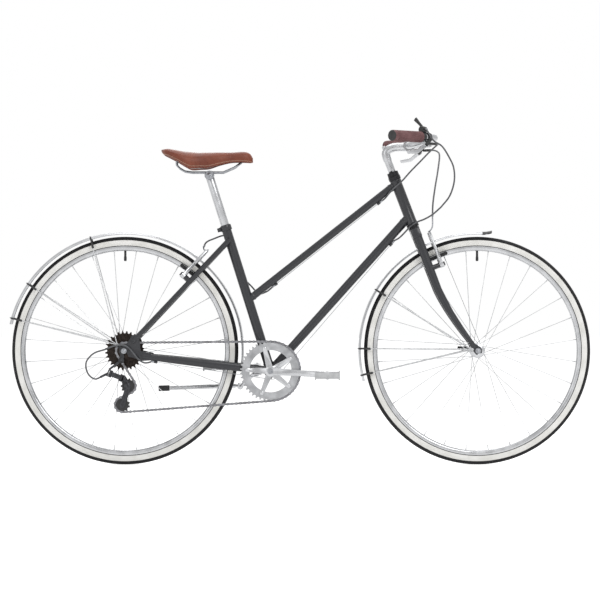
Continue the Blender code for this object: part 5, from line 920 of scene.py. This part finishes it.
# Brown grip rubber: matt, grained like leather
grip_rubber = finish("brown_grip_rubber", "6a4a4b", 0.68, Specular_IOR_Level=0.3)
tint(grip_rubber, (20.0, 4.0), "5e4041", "775657")
relief(grip_rubber, (1.4, 4.0), 0.12, 0.6)

BAR_CENTRE = steer(0.6495, 0.076)
BAR_LINE = mm((0, 20, 0), (0, 35, 0), (20, 75, 5), (48, 110, 12), (64, 135, 15), (68, 160, 15),
              (57.7, 183.3, 15))
BAR_END = (-0.059, 0.300, 0.015)
# The sine and cosine of the 45 degrees by which the bar's ends sweep back
SWEEP = 0.70711
GRIP_RIBS, RIB_STEP = 22, 0.0048


def bar_place(side, back):
    """A place on the bar's straight end, this far back from its tip, with the way out along the bar and
    the way ahead across it."""
    out, ahead = (np.array((x, side * SWEEP, 0.0)) for x in (-SWEEP, SWEEP))
    return BAR_CENTRE + np.array(BAR_END) * (1, side, 1) - out * back, out, ahead


bends = curve(BAR_CENTRE + BAR_LINE, 8)
straight = mixed(bends[-1], BAR_CENTRE + np.array(BAR_END), np.linspace(0.1, 1.0, 8)[:, None])
path = mirrored(np.concatenate([bends, straight])[::-1] * (1, -1, 1), (1, -1, 1), [BAR_CENTRE])
shape("bar_tube", [tube(path, np.interp(np.abs(path[:, 1]), (0.021, 0.027), (0.0127, 0.0111)), 28)], [polished],
      "stem", ("handlebar",), sharp=50.0)

neck = curve(route(steer, (630, 0), (640, 0), (654, 3), (661, 14), (661, 34), (649.5, 66)), 8)
parts = [tube([steer(0.598), steer(0.645)], 0.0111, 36),
         tube(neck, np.linspace(0.0124, 0.0130, len(neck)), 32),
         turned(mirrored(mm((12.9, -19.4), (17.4, -19.4), (18.3, -18.3)), (1, -1)), BAR_CENTRE, Y, closed=True),
         turned(mm((0.1, 0), (5.6, 0), (5.6, 8.8), (4.8, 9.6), (3.4, 9.6), (3.4, 7), (0.1, 7)),
                steer(0.666, 0.003), STEER_UP, 24)]
shape("stem_casting", parts, [polished], "stem")
dressed(polished, 0.6, "stem")

rib = mm((15.8, -114), (15.8, -112.6), (16.5, -111.9), (16.5, -109.8))
ribs = np.concatenate([mm((11.4, 0), (11.4, -120), (15.8, -120), (16.6, -119.2), (16.6, -116.5)),
                       *(rib + (0.0, RIB_STEP * k) for k in range(GRIP_RIBS)),
                       mm((16.6, -7), (16.6, -1), (15.8, 1))])
disc = mm((0.1, -0.5), (15.7, -0.5), (15.7, 2.8), (14.8, 3.8), (0.1, 3.9))
for side, hand in SIDES:
    tip, outward, _ = bar_place(side, 0.0)
    shape("grip_ribbed_" + hand, [turned(ribs, tip, outward, 40, closed=True),
                                  turned(disc, tip, outward, 40, number=1)], [grip_rubber, plastic], "stem",
          ("grip_" + hand,), sharp=50.0)
    dressed(plastic, 1.0, "brake_mount_" + hand)
    dressed(anodised, 1.0, "brake_lever_" + hand)
dressed(plastic, 0.8, "shifter_body")
dressed(plastic, 1.0, "shift_lever")


# ---- Saddle and seat post
# A moulded foam pad under rust-brown leather, in one skin with a pressed seam round its lower edge,
# on a black base with steel rails, clamped on a polished alloy post. The pad is soft but keeps its form.

# Rust-brown leather: satin, fine pebble grain, paler and duller in worn patches
leather = finish("rust_brown_leather", "763e2d", 0.42, Specular_IOR_Level=0.28)
leather_tone = pattern(leather, 35.0, 4.0)
tint(leather, leather_tone, "6a3526", "824836")
gloss(leather, leather_tone, 0.36, 0.5)
leather_place = node(leather.node_tree, "TexCoord").outputs["Object"]
leather_cells = node(leather.node_tree, "TexVoronoi", {"Vector": leather_place, "Scale": 620.0},
                     feature="SMOOTH_F1")
relief(leather, leather_cells.outputs["Distance"], 0.14, 0.55)

# Waxed seam thread: light tan
thread = finish("tan_seam_thread", "a5836e", 0.7)
tint(thread, 4.0, "967461", "b5947f")

# For places from the saddle's back to its nose: distance from the back, the depths of the skin's top and
# of its lower edge below the saddle's highest point, and half the width
SADDLE = mm((0, 2, 8, 40), (6, 0.2, 16, 60), (20, -1.5, 23, 78), (45, 2.5, 36, 88), (68, 6.5, 50, 88),
            (88, 8.5, 59.5, 83), (115, 10, 59, 72), (142, 9.5, 57.5, 57), (175, 9, 47.5, 38), (210, 9, 40, 30),
            (248, 7.2, 39.5, 26), (265, 13, 40.5, 20), (274, 26, 40, 12))
SADDLE_BACK = REAR_AXLE[0] + 0.1105
SADDLE_TOP = 0.949089

behind, upper, lower, wide = curve(SADDLE, 6).T
top, low = SADDLE_TOP - upper, SADDLE_TOP - lower
thick = top - low
# The skin's section: share of the half width, share of the height, and share of the hollow underneath
section = np.concatenate([
    mirrored([(-0.93, 0.0, 0.0), (-0.985, 0.10, 0.0), (-1.0, 0.38, 0.0), (-0.97, 0.60, 0.0), (-0.88, 0.78, 0.0),
              (-0.70, 0.90, 0.0), (-0.48, 0.955, 0.0), (-0.24, 0.990, 0.0)], (-1, 1, 1), [(0.0, 1.0, 0.0)]),
    mirrored([(0.84, 0.0, 0.0), (0.80, 0.0, 1.0), (0.40, 0.0, 1.0)], (-1, 1, 1))])
hollow = np.interp(behind, *mm((4, 20, 248, 270), (0.3, 7.6, 7.6, 0.3)))
rings = np.stack([np.repeat((SADDLE_BACK + behind)[:, None], len(section), 1), wide[:, None] * section[:, 0],
                  low[:, None] + thick[:, None] * section[:, 1] + hollow[:, None] * section[:, 2]], 2)
pad = shape("saddle_leather_pad", [skin(rings)], [leather], "saddle", ("saddle_cover",), sharp=180.0)

# The seam leaves out the pad's first four rings and its last three
seams = [tube(np.stack([SADDLE_BACK + behind, wide * share, low + thick * 0.14], 1)[4:-3], 0.0007, 6)
         for share in (-0.989, 0.989)]
shape("saddle_seam", seams, [thread], "saddle")
dressed(plastic, 0.8, "saddle_base")
dressed(zinc, 0.0, "saddle_rails")
dressed(zinc, 0.4, "saddle_clamp")
shape("seatpost_tube", [turned(mm((10, 362), (12.4, 362), (12.7, 362.4), (12.7, 615), (12.2, 617), (10, 617)),
                               BOTTOM_BRACKET, SEAT_UP, 40)],
      [polished], "seatpost")
dressed(polished, 0.8, "seatpost")


# ---- Kickstand
# A bent alloy leg with a black rubber foot, on a bracket behind the bottom bracket.

dressed(polished, 0.6, "kickstand_bracket")
dressed(polished, 0.8, "kickstand_leg")
foot = mm((-427.9, 46.5, 227.8), (-427.2, 46.5, 227.82), (-395.6, 46.5, 228.88), (-394.9, 46.5, 228.9))
shape("kickstand_foot", [tube(foot, mm(7.8, 8.7, 8.7, 7.8), 28)], [butyl], "kickstand_leg")


# ---- Cables
# Steel inner wires in smooth grey housings. The ends of the housings rest in stops on the frame; the
# wires run bare between them. Those that run between two bodies ride on neither.

# Cable housing: grey PVC, satin
housing = finish("grey_cable_housing", "4c4d50", 0.42)
tint(housing, 10.0, "434447", "58595c")
relief(housing, 1.5, 0.03, 0.3)

HOUSING, NOODLE, WIRE = 0.0025, 0.0021, 0.0008
# A path's end and the point beside it
START, STOP = (0, 1), (-1, -2)
# How far a housing's end stands out from the middle of its stop
STOP_DEPTH = 0.0053


def on_top_tube(along, down, side=0.0):
    """A point by its distance along the top tube from the seat tube, below its middle and to the side."""
    return TOP_TUBE_LOW + TOP_TUBE_DIR * along + TOP_TUBE_DOWN * down + Y * side


def barrel(side):
    """The first two points of a brake lever's housing, which leaves the lever's barrel."""
    place, out, ahead = bar_place(side, 0.150)
    down = ahead * math.cos(math.pi / 3) - Z * math.sin(math.pi / 3)
    return [place - out * along + down * 0.022 for along in (0.027, 0.034)]


def ferrule(point, toward):
    """A small metal end cap pushed on a housing."""
    reach = mm(0, 0.5, 8.5, 9)[:, None]
    return tube(point + unit(toward - point) * reach, mm(2.6, 3.1, 3.1, 2.6), 12, number=1)


def cable(name, path, bodies, replaced, capped, wire=()):
    """A housing along a path with ferrules on the named ends, and the bare wire beyond it; given
    two bodies, it rides on neither."""
    line = curve(path, 5)
    parts = [tube(line, HOUSING, 12), *(ferrule(path[end], path[beside]) for end, beside in capped)]
    if len(wire):
        parts.append(tube(wire, WIRE, 8, number=1))
    body = bodies[0] if len(bodies) == 1 else None
    made = shape(name, parts, [housing, zinc], body, replaced)
    if len(bodies) == 2:
        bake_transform(made)


def noodle(name, path, wire_end, body, caps=()):
    """The bent metal tube that ends a housing at a brake arm, and the wire from it to the other arm."""
    parts = [tube(curve(path, 6), NOODLE, 12), *caps, tube([path[-1], wire_end], WIRE, 8)]
    shape(name, parts, [zinc] * (1 + len(caps)), body)


upper_stop = on_top_tube(0.488 + STOP_DEPTH, 0.014)
lower_stop = on_top_tube(0.095 - STOP_DEPTH, 0.014)
down_stop = BOTTOM_BRACKET + DOWN_TUBE_DIR * (0.525 + STOP_DEPTH) + DOWN_TUBE_DOWN * 0.0156
stay_stop = chain_stay(0.105, -1, 0.0121)
under_shell = BOTTOM_BRACKET - Z * 0.0253 - Y * 0.010
stay_way = unit(under_shell - stay_stop)
stay_stop = stay_stop - stay_way * STOP_DEPTH

# Front brake: from the left lever down before the head tube to the noodle
path = barrel(1) + route(steer, (607, 158.5, 148), (591.4, 157.3, 110), (551.9, 134.7, 60), (504.5, 104.7, 10),
                         (460.7, 79.3, -25), (425, 63.5, -38))
cable("housing_brake_front", path, ("stem", "fork"), ("cable_brake_front",), (START,))
bent = [path[-1], *route(steer, (402.6, 54.9, -46), (392.5, 48, -50), (387.6, 40, -47), (387.6, 38, -39),
                         (387.6, 38, -24))]
noodle("noodle_brake_front", bent, steer(0.3876, 0.038, 0.034), "fork", (ferrule(path[-1], path[-2]),))

# Rear brake: from the right lever to the top tube, bare under it, then round the seat tube to its noodle
path = barrel(-1) + route(steer, (606.7, 120.3, -135), (592.4, 89.2, -85), (574.7, 50.2, -43),
                          (559.8, 22, -24.5))
cable("housing_brake_rear_bar", path, ("stem", "fork"), ("cable_brake_rear",), (START,))
path = [path[-1], steer(0.5404, -0.0251, -0.0185), upper_stop + TOP_TUBE_DIR * 0.020 - Y * 0.003,
        upper_stop + TOP_TUBE_DIR * 0.006, upper_stop]
cable("housing_brake_rear_head", path, ("fork", "frame"), (), (STOP,))
path = [lower_stop, lower_stop - TOP_TUBE_DIR * 0.006,
        *route(on_top_tube, (70, 14.8, 4), (56, 13.5, 10.5), (36, 4, 18)),
        *route(seat, (262, -20, 21.5), (300, -2, 22.5), (352, 4, 23.5), (400, 6, 27.5), (430.6, 9.7, 29),
               (431.8, 47, 31), (428.6, 70, 38)), on_stays(0.3876, 0.0433, 0.047)]
cable("housing_brake_rear_seat", path, ("frame",), (), (START, STOP), [upper_stop, lower_stop])
bent = [path[-1], *route(on_stays, (383.5, 36.5, 50), (389.1, 29, 47), (391.6, 27, 39), (391.6, 27, 24))]
noodle("noodle_brake_rear", bent, on_stays(0.3916, 0.027, -0.034), "frame")

# Shifter: from the right thumb lever to the down tube, bare under it and the shell, then to the derailleur
pod, _, ahead = bar_place(-1, 0.128)
pod = pod + Z * 0.022 + ahead * 0.0103
path = [pod, pod + ahead * 0.006,
        *route(steer, (631.6, 136.3, -226), (606, 155.5, -205), (569.2, 164.9, -180), (535.8, 168.1, -150),
               (498.3, 157, -120), (463.4, 130.7, -92), (441.6, 95.5, -70))]
cable("housing_shift_bar", path, ("stem", "fork"), ("cable_shift",), (START,))
path = [path[-1], *route(steer, (430.6, 65.6, -52), (426.2, 37.8, -38), (426.2, 15, -27.5), (420, -10, -25),
                         (409, -33, -15), (401, -52, -6)), down_stop + DOWN_TUBE_DIR * 0.010, down_stop]
cable("housing_shift_head", path, ("fork", "frame"), (), (STOP,))
barrel_end = rear(-0.070, -0.078, -0.084)
barrel_out = unit(barrel_end - rear(-0.046, -0.066, -0.084))
path = [stay_stop, stay_stop - stay_way * 0.006,
        *route(rear, (73, -34.8, -71), (60, -34.8, -75.5), (45, -26, -79), (30, -8, -81), (14, 10, -83),
               (-4, 18, -84.5), (-30, 15, -86), (-55, 5, -87), (-88, -6, -87), (-109.5, -28, -86.5),
               (-112.5, -49, -86), (-106, -68, -85.5), (-96, -78.5, -85), (-85, -83.5, -84)),
        barrel_end + barrel_out * 0.008, barrel_end + barrel_out * 0.0003]
bare = [down_stop, BOTTOM_BRACKET + DOWN_TUBE_DOWN * 0.0260 - Y * 0.009,
        BOTTOM_BRACKET + unit(DOWN_TUBE_DOWN - Z) * 0.0268 - Y * 0.010, under_shell, stay_stop]
cable("housing_shift_stay", path, ("frame",), (), (START,), bare)
